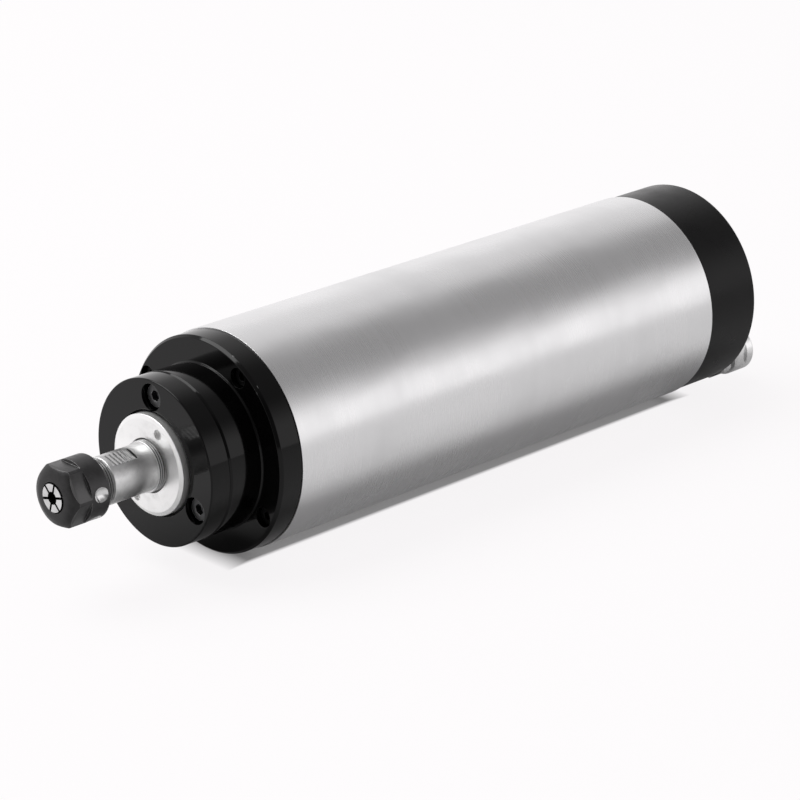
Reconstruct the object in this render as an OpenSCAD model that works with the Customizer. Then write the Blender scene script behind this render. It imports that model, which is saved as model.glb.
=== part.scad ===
// Liquid-cooled motor spindle with a slotted collet in its nose.
// The spindle axis lies along Y, the nose points to -Y and Z is up.
// The origin is on the axis, where the front flange meets the body tube. All sizes are millimetres.

/* [Body] */
// Outer diameter of the ground body tube, the surface a clamp holds
tube_d = 65; // [64.9:0.1:66]
// Wall of the body tube
tube_wall = 2; // [1.5:0.1:2]
// Length of the body tube
tube_len = 173; // [160:1:200]
// Diameter of the front flange rim and of the rear cap
rim_d = 64.3; // [64:0.1:64.3]
// Thickness of the front flange rim
rim_len = 7.8; // [7:0.1:9]
// Diameter of the boss in front of the rim
boss_d = 49.3; // [48:0.1:50]
// Length of the boss
boss_len = 11.8; // [11:0.1:13]
// Length of the rear cap
cap_len = 21; // [20:0.5:26]

/* [Front cover] */
// Thickness of the bearing cover
cover_len = 7; // [6.5:0.1:8]
// Bore of the cover round the lock nut
cover_bore_d = 31; // [30.8:0.1:32]
// Screws in the cover
cover_screws_n = 3; // [3,4,6]
// Bolt circle of the cover screws
cover_pcd = 39; // [38.5:0.1:40]

/* [Lock nut] */
// Diameter of the bright lock nut
lock_nut_d = 30; // [29:0.1:30.4]
// How far the lock nut stands proud of the cover
lock_nut_proud = 2.3; // [1.5:0.1:3]
// Diameter of the two spanner holes
spanner_hole_d = 3; // [2.5:0.1:3.5]

/* [Shaft] */
// Diameter of the shaft nose
nose_d = 14; // [13.8:0.1:14]
// Diameter of the front bearing journal
journal_d = 15; // [15:0.1:15]
// Distance across the two spanner flats
flats_af = 13; // [12.5:0.1:13.4]
// Roll of the shaft when at rest, as the angle of the first flat
flat_angle = 72; // [0:1:359]

/* [Collet and nut] */
// Tool shank that the collet holds
tool_d = 3.175; // [1:0.005:4]
// Slots at each end of the collet
collet_slots = 6; // [4:1:6]
// Width of a collet slot
slot_w = 0.55; // [0.4:0.05:0.55]
// Angle of the first front slot
first_slot = 15; // [14:0.5:16]
// Outer diameter of the clamping nut
nut_d = 18.6; // [18.4:0.1:18.8]
// Diameter of the clamping nut at its front face
nut_face_d = 12.3; // [12:0.1:13]
// Distance across the flats of the clamping nut
nut_af = 16.6; // [16.4:0.1:17]
// Angle of the first flat of the clamping nut
nut_angle = 29; // [0:1:59]

/* [Motor] */
// Slots of the stator
stator_slots = 18; // [12:6:18]
// Bars of the rotor cage
rotor_bars = 16; // [10:1:18]
// Length of both iron cores
core_len = 90; // [70:5:90]
// Gap between rotor and stator
air_gap = 0.3; // [0.2:0.05:0.5]

/* [Rear end] */
// Distance of the hose unions from the axis
union_r = 26; // [25:0.5:26]
// Diameter of the union coupling nuts
union_nut_d = 14.5; // [14:0.1:15]
// Height of the power socket above the axis
socket_z = 12; // [11:0.5:12.5]

/* [Hidden] */
$fn = 64;
cut = 1;
fit = 0.02;

// Stations along the axis, from the nose to the tail
y_flange = -rim_len;
y_seam = y_flange - boss_len;
y_cover = y_seam - cover_len;
y_lock = y_cover - lock_nut_proud;
y_brg1 = y_seam + 1;
brg_w = 9;
spacer_w = 9;
y_brg2 = y_brg1 + brg_w + spacer_w;
y_shoulder = y_brg2 + brg_w;
y_spigot = y_shoulder + 3.6;
y_core = 38;
y_core_end = y_core + core_len;
y_plate = tube_len - 8;
y_rear_brg = y_plate - 7;
rear_brg_w = 8;
y_cap = tube_len;
y_tail = tube_len + cap_len;

// Radii of the nested body pieces
tube_r = tube_d / 2;
tube_in = tube_r - tube_wall;
rim_r = rim_d / 2;
boss_r = boss_d / 2;
jacket_r = tube_in - 0.1;
jacket_in = 26;
channel_r = 28;
stator_r = jacket_in - 0.02;
stator_in = 13.6 + air_gap;
rotor_r = 13.6;

// Bearing sizes: bore radius, outer radius, pitch radius, ball radius
front_brg = [7.5, 16, 11.75, 2.38];
rear_brg = [6, 14, 10, 2.38];
front_balls_n = 11;
rear_balls_n = 10;

// Coolant channels run to and fro from one union to the other
channels_n = 10;
channel_step = 300 / (channels_n - 1);
union_angles = [-60, -120];
port_r = 27.9;

// Screws that hold both ends to the jacket
end_screw_r = 28.3;
flange_angles = [for (i = [0:3]) 59 + 90 * i];
cap_angles = [25, 155, 205, 335];
cover_angles = [for (i = [0:cover_screws_n - 1]) 91.5 + 360 / cover_screws_n * i];

// Nose, nut and collet stations
y_nose = -58;
y_thread_end = -45.6;
y_step = -30.9;
y_flat0 = -44.5;
y_flat1 = -35.9;
y_collet = -62.7;
collet_len = 18;
y_nut = -62.4;
y_nut_rear = -49.7;
y_nut_flats = -56.1;
taper = tan(8);
shoulder_y = y_collet + 3.6;

// Power socket stations
y_socket_rear = 184;
y_socket_mouth = y_tail + 11;
pin_angles = [0, 90, 180, 270];
pin_r = 3.5;

// Turns a profile of [radius, y] points about the spindle axis
module lathe(profile) {
    rotate([-90, 0, 0])
        rotate_extrude()
            polygon(profile);
}

// Plain ring from y0 to y1
module ring(y0, y1, r_out, r_in) {
    lathe([[r_in, y0], [r_out, y0], [r_out, y1], [r_in, y1]]);
}

// Turns children about the spindle axis, from +X towards +Z
module polar(angle) {
    rotate([0, -angle, 0])
        children();
}

// Rod along Y from y0 to y1
module rod(y0, y1, r) {
    translate([0, y0, 0])
        rotate([-90, 0, 0])
            cylinder(h = y1 - y0, r = r);
}

// Rod at a distance from the axis, repeated at the given angles
module rods(angles, at, y0, y1, r) {
    for (a = angles)
        polar(a)
            translate([at, 0, 0])
                rod(y0, y1, r);
}

// Hexagonal prism along Y
module hex_rod(y0, y1, af) {
    translate([0, y0, 0])
        rotate([-90, 0, 0])
            cylinder(h = y1 - y0, r = af / sqrt(3), $fn = 6);
}

// Socket cap screw that points to +Y, with the underside of its head at y = 0
module cap_screw(d, len, head_d, head_h, key_af) {
    difference() {
        union() {
            lathe([[0, -head_h], [head_d / 2 - 0.3, -head_h], [head_d / 2, 0.3 - head_h],
                   [head_d / 2, 0], [0, 0]]);
            rod(-0.2, len, d / 2);
        }
        hex_rod(-head_h - cut, -head_h * 0.45, key_af);
    }
}

// One cap screw for each angle, entering towards +Y at y
module screws_in(angles, at, y, d, len, head_d, head_h, key_af) {
    for (a = angles)
        polar(a)
            translate([at, y, 0])
                cap_screw(d, len, head_d, head_h, key_af);
}

// Body tube

module outer_tube() {
    color([0.78, 0.78, 0.79])
        ring(0, tube_len, tube_r, tube_in);
}

// Water jacket

// Slot round part of the jacket, from angle a0 and from y0 to y1, as deep as floor_r
module arc_slot(a0, span, y0, y1, floor_r) {
    rotate([0, -a0, 0])
        rotate([-90, 0, 0])
            mirror([0, 1, 0])
                rotate_extrude(angle = span)
                    translate([floor_r, y0])
                        square([6, y1 - y0]);
}

module water_jacket() {
    color([0.72, 0.73, 0.75])
    difference() {
        ring(0, y_plate, jacket_r, jacket_in);
        for (i = [0:channels_n - 1])
            arc_slot(-70 + channel_step * i, 20, 14, y_plate - 14, channel_r);
        for (i = [0:channels_n - 2])
            arc_slot(-51 + channel_step * i, channel_step - 18,
                     i % 2 == 0 ? 14.5 : y_plate - 23, i % 2 == 0 ? 23 : y_plate - 14.5,
                     channel_r + 0.2);
        for (y = [10.5, y_plate - 12.5])
            ring(y, y + 1.5, jacket_r + cut, jacket_r - 1);
        rods(flange_angles, end_screw_r, -cut, 9.3, 1.52);
        rods(cap_angles, end_screw_r, y_plate - 9, y_plate + cut, 1.52);
        rods(union_angles, port_r, y_plate - 20, y_plate + cut, 1.1);
    }
}

module jacket_seals() {
    color([0.1, 0.1, 0.1])
    for (y = [11.25, y_plate - 11.75])
        rotate([-90, 0, 0])
            rotate_extrude()
                translate([jacket_r - 0.44, y])
                    circle(r = 0.52, $fn = 24);
}

// Motor

// Cross-section of one stator slot, open to the bore
module slot_outline() {
    polygon([[15.2, -1.3], [22, -2.3], [22, 2.3], [15.2, 1.3]]);
    translate([stator_in - 1, -0.6])
        square([3, 1.2]);
}

module stator_core() {
    color([0.42, 0.43, 0.45])
    translate([0, y_core, 0])
        rotate([-90, 0, 0])
            linear_extrude(height = core_len)
                difference() {
                    circle(r = stator_r);
                    circle(r = stator_in);
                    for (i = [0:stator_slots - 1])
                        rotate(360 / stator_slots * i)
                            slot_outline();
                }
}

// End turns of the coils, from y0 outwards
module end_turns(y0, dir) {
    lathe([[15.3, y0], [24.4, y0], [24.8, y0 + 4 * dir], [23.6, y0 + 12 * dir],
           [21.6, y0 + 14 * dir], [17.4, y0 + 14 * dir], [15.9, y0 + 12 * dir]]);
}

module stator_windings() {
    color([0.72, 0.38, 0.18]) {
        end_turns(y_core, -1);
        end_turns(y_core_end, 1);
        translate([0, y_core - 0.5, 0])
            rotate([-90, 0, 0])
                linear_extrude(height = core_len + 1)
                    for (i = [0:stator_slots - 1])
                        rotate(360 / stator_slots * i)
                            polygon([[15.5, -1.2], [21.9, -2.15], [21.9, 2.15], [15.5, 1.2]]);
    }
}

module rotor_core() {
    color([0.5, 0.5, 0.52])
    difference() {
        ring(y_core, y_core_end, rotor_r, 9 + fit);
        rods([for (i = [0:rotor_bars - 1]) 360 / rotor_bars * i], 12, y_core - cut,
             y_core_end + cut, 1.1);
    }
}

module rotor_cage() {
    color([0.8, 0.8, 0.82]) {
        ring(y_core - 7, y_core, 13.3, 9.6);
        ring(y_core_end, y_core_end + 7, 13.3, 9.6);
        rods([for (i = [0:rotor_bars - 1]) 360 / rotor_bars * i], 12, y_core - 1,
             y_core_end + 1, 1.08);
    }
}

// Front end

module front_flange() {
    color([0.13, 0.13, 0.14])
    difference() {
        lathe([[16, y_seam], [boss_r - 0.3, y_seam], [boss_r, y_seam + 0.3],
               [boss_r, y_flange - 0.9], [boss_r + 0.7, y_flange], [rim_r - 0.5, y_flange],
               [rim_r, y_flange + 0.5], [rim_r, -0.3], [rim_r - 0.3, 0], [jacket_in - 0.05, 0],
               [jacket_in - 0.05, y_spigot - 0.5], [jacket_in - 0.55, y_spigot],
               [13.6, y_spigot], [13.6, y_shoulder], [16, y_shoulder]]);
        rods(cover_angles, cover_pcd / 2, y_seam - cut, y_seam + 9.5, 2.02);
        rods(flange_angles, end_screw_r, y_flange - cut, y_flange + 4.6, 3);
        rods(flange_angles, end_screw_r, y_flange, cut, 1.6);
    }
}

module flange_screws() {
    color([0.16, 0.16, 0.17])
        screws_in(flange_angles, end_screw_r, y_flange + 4.6, 3, 12, 5.5, 3, 2.5);
}

module front_cover() {
    color([0.13, 0.13, 0.14])
    difference() {
        lathe([[cover_bore_d / 2, y_cover + 0.3], [cover_bore_d / 2 + 0.3, y_cover],
               [boss_r - 0.6, y_cover], [boss_r - 0.1, y_cover + 0.5],
               [boss_r - 0.1, y_seam - 0.3], [boss_r - 0.4, y_seam], [15.95, y_seam],
               [15.95, y_brg1], [13.8, y_brg1], [13.8, y_seam - 0.4], [10.2, y_seam - 0.4],
               [10.2, y_seam - 2.8], [cover_bore_d / 2, y_seam - 2.8]]);
        rods(cover_angles, cover_pcd / 2, y_cover - cut, y_cover + 5.2, 4);
        rods(cover_angles, cover_pcd / 2, y_cover, y_seam + cut, 2.2);
    }
}

module cover_screws() {
    color([0.2, 0.2, 0.21])
        screws_in(cover_angles, cover_pcd / 2, y_cover + 5.2, 4, 10, 7, 3.6, 3);
}

module outer_spacer() {
    color([0.6, 0.6, 0.62])
        ring(y_brg1 + brg_w, y_brg2, 16 - fit, 14.2);
}

module inner_spacer() {
    color([0.6, 0.6, 0.62])
        ring(y_brg1 + brg_w, y_brg2, 9.4, 7.5 + fit);
}

// Shaft

// Radius of the collet taper at y
function taper_r(y) = 5.75 - (y - shoulder_y) * taper;

module shaft() {
    color([0.75, 0.75, 0.76])
    difference() {
        lathe([[0, -34], [3.4, -36], [3.4, -43.4], [taper_r(-43.4) + 0.03, -43.4],
               [taper_r(y_nose) + 0.03, y_nose], [nose_d / 2 - 0.5, y_nose],
               [nose_d / 2, y_nose + 0.5], [nose_d / 2, y_step],
               [journal_d / 2 - 0.3, y_step], [journal_d / 2, y_step + 0.3],
               [journal_d / 2, y_shoulder], [9.4, y_shoulder], [9.4, y_shoulder + 14], [9, y_shoulder + 15],
               [9, y_core_end + 9], [7.5, y_core_end + 11], [7.5, y_rear_brg], [6, y_rear_brg],
               [6, y_rear_brg + rear_brg_w + 0.05], [5.5, y_rear_brg + rear_brg_w + 0.05],
               [5.5, y_rear_brg + rear_brg_w + 1.15], [6, y_rear_brg + rear_brg_w + 1.15],
               [6, y_rear_brg + rear_brg_w + 3], [5.5, y_rear_brg + rear_brg_w + 3.5],
               [0, y_rear_brg + rear_brg_w + 3.5]]);
        for (a = [flat_angle, flat_angle + 180])
            polar(a)
                translate([flats_af / 2, y_flat0, -8])
                    cube([4, y_flat1 - y_flat0, 16]);
    }
}

module shaft_lock_nut() {
    color([0.86, 0.86, 0.87])
    difference() {
        lathe([[journal_d / 2 + 0.05, y_lock], [lock_nut_d / 2 - 0.3, y_lock],
               [lock_nut_d / 2, y_lock + 0.3], [lock_nut_d / 2, y_seam - 3.4],
               [9.6, y_seam - 3.4], [9.6, y_brg1], [journal_d / 2 + 0.05, y_brg1]]);
        rods([65, 245], 11.6, y_lock - cut, y_lock + 3.5, spanner_hole_d / 2);
    }
}

// Bearings

// Outer ring with its ball track
module outer_ring(size, y0, w) {
    land = size[2] + 1.55;
    difference() {
        lathe([[land, y0], [size[1] - fit - 0.4, y0], [size[1] - fit, y0 + 0.4],
               [size[1] - fit, y0 + w - 0.4], [size[1] - fit - 0.4, y0 + w], [land, y0 + w]]);
        rotate([-90, 0, 0])
            rotate_extrude()
                translate([size[2], y0 + w / 2])
                    circle(r = size[3] + 0.05);
    }
}

// Inner ring with its ball track
module inner_ring(size, y0, w) {
    land = size[2] - 1.55;
    difference() {
        lathe([[size[0] + fit, y0], [land, y0], [land, y0 + w], [size[0] + fit, y0 + w]]);
        rotate([-90, 0, 0])
            rotate_extrude()
                translate([size[2], y0 + w / 2])
                    circle(r = size[3] + 0.05);
    }
}

// Ring of balls
module balls(size, y0, w, n) {
    for (i = [0:n - 1])
        polar(360 / n * i)
            translate([size[2], y0 + w / 2, 0])
                sphere(r = size[3]);
}

// Cage with one round pocket for each ball
module cage(size, y0, w, n) {
    difference() {
        ring(y0 + 1, y0 + w - 1, size[2] + 1.15, size[2] - 1.15);
        for (i = [0:n - 1])
            polar(360 / n * i)
                translate([size[2] - 3, y0 + w / 2, 0])
                    rotate([0, 90, 0])
                        cylinder(h = 6, r = size[3] + 0.12);
    }
}

module front_bearing_outer_rings() {
    color([0.7, 0.7, 0.72]) {
        outer_ring(front_brg, y_brg1, brg_w);
        outer_ring(front_brg, y_brg2, brg_w);
    }
}

module front_bearing_inner_rings() {
    color([0.7, 0.7, 0.72]) {
        inner_ring(front_brg, y_brg1, brg_w);
        inner_ring(front_brg, y_brg2, brg_w);
    }
}

module front_bearing_1_balls() {
    color([0.85, 0.85, 0.87])
        balls(front_brg, y_brg1, brg_w, front_balls_n);
}

module front_bearing_1_cage() {
    color([0.55, 0.4, 0.25])
        cage(front_brg, y_brg1, brg_w, front_balls_n);
}

module front_bearing_2_balls() {
    color([0.85, 0.85, 0.87])
        balls(front_brg, y_brg2, brg_w, front_balls_n);
}

module front_bearing_2_cage() {
    color([0.55, 0.4, 0.25])
        cage(front_brg, y_brg2, brg_w, front_balls_n);
}

module rear_bearing_outer_ring() {
    color([0.7, 0.7, 0.72])
        outer_ring(rear_brg, y_rear_brg, rear_brg_w);
}

module rear_bearing_inner_ring() {
    color([0.7, 0.7, 0.72])
        inner_ring(rear_brg, y_rear_brg, rear_brg_w);
}

module rear_bearing_balls() {
    color([0.85, 0.85, 0.87])
        balls(rear_brg, y_rear_brg, rear_brg_w, rear_balls_n);
}

module rear_bearing_cage() {
    color([0.55, 0.4, 0.25])
        cage(rear_brg, y_rear_brg, rear_brg_w, rear_balls_n);
}

// Height of the wave spring's middle line at an angle
function wave_y(a) = y_rear_brg + rear_brg_w + 1 + 0.78 * cos(3 * a);

// Wave spring: a flat ring bent into three waves
module preload_spring() {
    steps = 72;
    rows = [[11.4, -0.2], [13.6, -0.2], [13.6, 0.2], [11.4, 0.2]];
    points = [for (i = [0:steps - 1]) for (p = rows)
        [p[0] * cos(5 * i), wave_y(5 * i) + p[1], p[0] * sin(5 * i)]];
    faces = [for (i = [0:steps - 1]) for (j = [0:3])
        [4 * i + j, 4 * i + (j + 1) % 4, 4 * ((i + 1) % steps) + (j + 1) % 4,
         4 * ((i + 1) % steps) + j]];
    color([0.6, 0.6, 0.62])
        polyhedron(points = points, faces = faces, convexity = 4);
}

module rear_circlip() {
    y0 = y_rear_brg + rear_brg_w + 0.1;
    color([0.3, 0.3, 0.32])
    difference() {
        union() {
            ring(y0, y0 + 1, 7.2, 5.5 + fit);
            rods([73, 107], 7.2, y0, y0 + 1, 1.4);
        }
        rods([73, 107], 7.3, y0 - cut, y0 + 2, 0.6);
        rod(y0 - cut, y0 + 2, 5.5 + fit);
        translate([-1, y0 - cut, 0])
            cube([2, 3, 10]);
    }
}

// Rear end

module rear_housing() {
    color([0.7, 0.71, 0.73])
    difference() {
        lathe([[14, y_plate - 13], [jacket_in - 0.5, y_plate - 13], [jacket_in - 0.05, y_plate - 12.5],
               [jacket_in - 0.05, y_plate], [jacket_r, y_plate], [jacket_r, y_cap], [8, y_cap],
               [8, y_plate + 3], [14, y_plate + 3]]);
        translate([0, 0, 20.5])
            rod(y_plate - 20, y_cap + cut, 3.8);
        rods(cap_angles, end_screw_r, y_plate - cut, y_cap + cut, 1.7);
        rods(union_angles, port_r, y_plate - cut, y_cap + cut, 1.1);
        rods(union_angles, port_r, y_plate - cut, y_plate + 0.6, 1.9);
        rods(union_angles, port_r, y_cap - 0.6, y_cap + cut, 1.9);
    }
}

module port_seals() {
    color([0.1, 0.1, 0.1])
    for (a = union_angles)
        for (y = [y_plate, y_cap - 0.6])
            polar(a)
                translate([port_r, 0, 0])
                    difference() {
                        rod(y, y + 0.6, 1.88);
                        rod(y - cut, y + 2, 1.15);
                    }
}

module rear_cap() {
    color([0.13, 0.13, 0.14])
    difference() {
        lathe([[0, y_tail], [rim_r - 0.8, y_tail], [rim_r, y_tail - 0.8], [rim_r, y_cap + 0.3],
               [rim_r - 0.3, y_cap], [0, y_cap]]);
        difference() {
            rod(y_cap - cut, y_tail - 4.5, 24.5);
            rods(union_angles, union_r, y_cap - 2 * cut, y_tail, 7);
        }
        translate([0, 0, socket_z])
            rod(y_cap, y_tail + cut, 8);
        rods(cap_angles, end_screw_r, y_cap - cut, y_tail, 1.7);
        rods(cap_angles, end_screw_r, y_tail - 5, y_tail + cut, 3);
        rods(union_angles, union_r, y_tail - 10, y_tail + cut, 5);
        rods(union_angles, union_r, y_tail - 16, y_tail - 9, 2);
        rods(union_angles, port_r, y_cap - cut, y_tail - 11, 1.1);
    }
}

module rear_cap_screws() {
    color([0.16, 0.16, 0.17])
    translate([0, y_tail - 5, 0])
        mirror([0, 1, 0])
            screws_in(cap_angles, end_screw_r, 0, 3, 32, 5.5, 3, 2.5);
}

// Power socket

module power_socket_shell() {
    color([0.8, 0.8, 0.8])
    translate([0, 0, socket_z])
        difference() {
            lathe([[6.7, y_socket_rear], [7.9, y_socket_rear], [7.9, y_tail], [9.6, y_tail],
                   [9.6, y_tail + 1.8], [9.2, y_tail + 2.2], [7.9, y_tail + 2.2],
                   [7.9, y_socket_mouth - 0.5], [7.4, y_socket_mouth], [6.7, y_socket_mouth]]);
            translate([-0.9, y_socket_mouth - 5, 5])
                cube([1.8, 6, 5]);
        }
}

module power_socket_insert() {
    color([0.12, 0.12, 0.12])
    translate([0, 0, socket_z])
        difference() {
            rod(y_socket_rear + 1, y_tail + 3, 6.68);
            rods(pin_angles, pin_r, y_socket_rear, y_tail + 4, 0.77);
        }
}

module power_socket_pins() {
    color([0.85, 0.75, 0.45])
    translate([0, 0, socket_z])
        for (a = pin_angles)
            polar(a)
                translate([pin_r, 0, 0])
                    lathe([[0, y_socket_rear - 3], [0.75, y_socket_rear - 3],
                           [0.75, y_socket_mouth - 2.4], [0.35, y_socket_mouth - 2],
                           [0, y_socket_mouth - 2]]);
}

module power_socket_nut() {
    color([0.8, 0.8, 0.8])
    translate([0, 0, socket_z])
        difference() {
            hex_rod(y_tail - 7.5, y_tail - 4.5, 20);
            rod(y_tail - 9, y_tail, 7.95);
        }
}

// Lead made of straight runs between round joints
module lead(points, r) {
    for (i = [0:len(points) - 2]) {
        run = points[i + 1] - points[i];
        translate(points[i])
            rotate([0, acos(run[2] / norm(run)), atan2(run[1], run[0])])
                cylinder(h = norm(run), r = r, $fn = 20);
    }
    for (i = [1:len(points) - 2])
        translate(points[i])
            sphere(r = r * 1.08, $fn = 20);
}

module winding_leads() {
    colors = [[0.75, 0.15, 0.12], [0.15, 0.3, 0.65], [0.2, 0.2, 0.2], [0.5, 0.6, 0.15]];
    for (i = [0:3]) {
        c = 1.35 * [cos(90 * i), sin(90 * i)];
        p = pin_r * [cos(90 * i), sin(90 * i)];
        color(colors[i])
            lead([[c[0], y_core_end + 14, 20.5 + c[1]], [c[0], y_cap + 2, 20.5 + c[1]],
                  [p[0], y_socket_rear - 5, socket_z + p[1]],
                  [p[0], y_socket_rear - 3, socket_z + p[1]]], 0.65);
    }
}

// Hose unions

module water_nozzles() {
    color([0.82, 0.82, 0.83])
    for (a = union_angles)
        polar(a)
            translate([union_r, 0, 0])
                difference() {
                    union() {
                        rod(y_tail - 9, y_tail + 5, 4.95);
                        hex_rod(y_tail + 1, y_tail + 4.5, 13);
                        rod(y_tail + 4.4, y_tail + 11, 5.4);
                        lathe([[0, y_tail + 10], [2.7, y_tail + 10], [3.1, y_tail + 12.4],
                               [2.6, y_tail + 12.4], [2.8, y_tail + 14], [0, y_tail + 14]]);
                    }
                    rod(y_tail - 10, y_tail + 15, 1.8);
                }
}

module nozzle_seals() {
    color([0.1, 0.1, 0.1])
    for (a = union_angles)
        polar(a)
            translate([union_r, 0, 0])
                ring(y_tail, y_tail + 1, 6.4, 5);
}

module nozzle_nuts() {
    r = union_nut_d / 2;
    color([0.85, 0.85, 0.86])
    for (a = union_angles)
        translate([union_r * cos(a), 0, union_r * sin(a)])
            difference() {
                lathe([[5.45, y_tail + 6.5], [r - 0.4, y_tail + 6.5], [r, y_tail + 6.9],
                       [r, y_tail + 14], [r - 0.4, y_tail + 14.8], [r - 1.2, y_tail + 15.2],
                       [4.1, y_tail + 15.2], [4.1, y_tail + 11.5], [5.45, y_tail + 11.5]]);
                for (side = [-1, 1])
                    translate([side * 9.5 - 3, y_tail + 5, -9])
                        cube([6, 6.6, 18]);
            }
}

// Collet and clamping nut

module collet() {
    color([0.82, 0.82, 0.83])
    difference() {
        lathe([[tool_d / 2, y_collet + 0.25], [tool_d / 2 + 0.25, y_collet], [4.35, y_collet],
               [5.3, y_collet + 1.65],
               [5.3, y_collet + 1.9], [4.75, y_collet + 1.9], [4.75, y_collet + 3.1],
               [5.65, y_collet + 3.1], [5.75, shoulder_y],
               [taper_r(y_collet + collet_len - 0.3), y_collet + collet_len - 0.3],
               [taper_r(y_collet + collet_len) - 0.3, y_collet + collet_len],
               [tool_d / 2, y_collet + collet_len]]);
        for (i = [0:collet_slots - 1]) {
            polar(first_slot + 360 / collet_slots * i)
                translate([0, y_collet - cut, -slot_w / 2])
                    cube([7, 15.5, slot_w]);
            polar(first_slot + 180 / collet_slots + 360 / collet_slots * i)
                translate([0, y_collet + 4.6, -slot_w / 2])
                    cube([7, 15, slot_w]);
        }
    }
}

module collet_nut() {
    r = nut_d / 2;
    color([0.2, 0.2, 0.2])
    difference() {
        lathe([[4.35 + 0.3 * tan(30) + 0.05, y_nut], [nut_face_d / 2, y_nut], [r, y_nut + 1.6],
               [r, y_nut_rear - 0.4], [r - 0.4, y_nut_rear], [nose_d / 2 + 0.25, y_nut_rear],
               [nose_d / 2 + 0.05, y_nut_rear - 0.3], [nose_d / 2 + 0.05, y_nose - 0.4],
               [5.85, y_nose - 0.4], [5.85, y_collet + 3.05], [4.85, y_collet + 3.05],
               [4.85, y_collet + 1.95], [5.38, y_collet + 1.95], [5.38, y_collet + 1.65]]);
        for (i = [0:5])
            polar(nut_angle + 60 * i)
                translate([nut_af / 2, y_nut - cut, -6])
                    cube([3, y_nut_flats - y_nut + cut, 12]);
        for (a = [5, -36])
            polar(a)
                translate([r - 2, -52.8, 0])
                    rotate([0, 90, 0])
                        union() {
                            cylinder(h = 1.38, r1 = 0, r2 = 2.3);
                            translate([0, 0, 1.37])
                                cylinder(h = 3, r = 2.3);
                        }
    }
}

outer_tube();
water_jacket();
jacket_seals();
stator_core();
stator_windings();
front_flange();
flange_screws();
front_cover();
cover_screws();
shaft();
rotor_core();
rotor_cage();
shaft_lock_nut();
inner_spacer();
outer_spacer();
front_bearing_outer_rings();
front_bearing_inner_rings();
front_bearing_1_balls();
front_bearing_1_cage();
front_bearing_2_balls();
front_bearing_2_cage();
rear_bearing_outer_ring();
rear_bearing_inner_ring();
rear_bearing_balls();
rear_bearing_cage();
preload_spring();
rear_circlip();
rear_housing();
port_seals();
rear_cap();
rear_cap_screws();
power_socket_shell();
power_socket_insert();
power_socket_pins();
power_socket_nut();
winding_leads();
water_nozzles();
nozzle_seals();
nozzle_nuts();
collet();
collet_nut();
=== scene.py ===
"""Looks of a liquid-cooled motor spindle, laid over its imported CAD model.

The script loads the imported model, builds a detailed piece for everything that shows, gives each
CAD node that stays a finish, and sets the floor, the light and the camera.  Lengths in the classes
are millimetres in the CAD frame: the spindle axis is Y, the nose points to -Y and Z is up.
Angles go from +X towards +Z and are degrees.
"""

from __future__ import annotations

import logging
import math
from dataclasses import dataclass, field
from enum import Enum
from typing import Sequence

import bmesh
import bpy
import numpy as np
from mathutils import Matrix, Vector

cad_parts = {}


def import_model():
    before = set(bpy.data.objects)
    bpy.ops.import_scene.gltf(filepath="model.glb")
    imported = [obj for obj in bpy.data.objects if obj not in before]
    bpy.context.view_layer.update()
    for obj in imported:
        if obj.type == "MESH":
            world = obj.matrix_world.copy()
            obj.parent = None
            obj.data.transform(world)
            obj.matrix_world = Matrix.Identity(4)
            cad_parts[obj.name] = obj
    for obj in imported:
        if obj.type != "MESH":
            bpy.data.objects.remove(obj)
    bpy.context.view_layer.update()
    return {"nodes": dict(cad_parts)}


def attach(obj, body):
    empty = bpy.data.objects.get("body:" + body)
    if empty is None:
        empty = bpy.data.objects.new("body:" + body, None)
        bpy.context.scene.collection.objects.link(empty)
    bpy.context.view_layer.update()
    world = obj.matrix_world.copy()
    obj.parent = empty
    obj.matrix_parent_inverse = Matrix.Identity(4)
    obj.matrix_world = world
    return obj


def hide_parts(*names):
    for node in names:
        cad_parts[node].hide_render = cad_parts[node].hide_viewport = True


MM = 0.001
LOG = logging.getLogger("spindle")

# Red, green and blue; X, Y and Z; radius, Y and edge radius; first Y, last Y and row spacing
Colour = tuple[float, float, float]
Point = tuple[float, float, float]
Corner = tuple[float, float, float]
Band = tuple[float, float, float]
# X and Z of a line along Y; angle and distance from the axis; first and last Y
Line = tuple[float, float]
Place = tuple[float, float]
Span = tuple[float, float]
Outline = list[Corner]
Angles = tuple[float, ...]
NodeSocket = bpy.types.NodeSocket
Value = float | int | Sequence[float] | NodeSocket | bpy.types.Material

AXIS: Line = (0.0, 0.0)

# Radius that the collet and its seat lose along each millimetre
COLLET_TAPER = math.tan(math.radians(8))

# Places that more than one piece shares, in millimetres and degrees
COVER_SEAM = -19.6
COVER_ANGLES: Angles = (91.5, 211.5, 331.5)
COVER_REACH = 19.5
COVER_END = -18.62
REAR_FACE = 194.0
SOCKET_HEIGHT = 12.0
UNION_ANGLES: Angles = (-60, -120)
UNION_REACH = 26.0

# Numbers that a mesh carries for its material: 1 on a rounded edge, and 1 where the material paints the most
# shade, at the bottom of a groove or on the step wall of a flat
EDGE = "edge"
SHADE_MARK = "groove"


class Body(Enum):
    """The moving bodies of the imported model."""

    HOUSING = "housing"
    ROTOR = "rotor"
    COLLET = "spring_collet"
    NUT = "clamping_nut"


class Cut(Enum):
    """What a boolean does with its tools."""

    TAKE_AWAY = "DIFFERENCE"
    KEEP_COMMON = "INTERSECT"


class Slot(Enum):
    """The record's material slots, passed along with the pieces."""

    SLEEVE = "ground_stainless"
    ANODISED = "black_anodised"
    SCREW = "black_screw"
    LOCK_NUT = "turned_steel"
    SHAFT = "ground_steel"
    COLLET = "spring_steel"
    CLAMPING_NUT = "black_oxide"
    PLATED = "plated_brass"
    INSULATOR = "insulator"
    CONTACT = "contact_gold"
    SEAL = "seal_rubber"


# ---------------------------------------------------------------------------------------------
# Node trees


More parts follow.
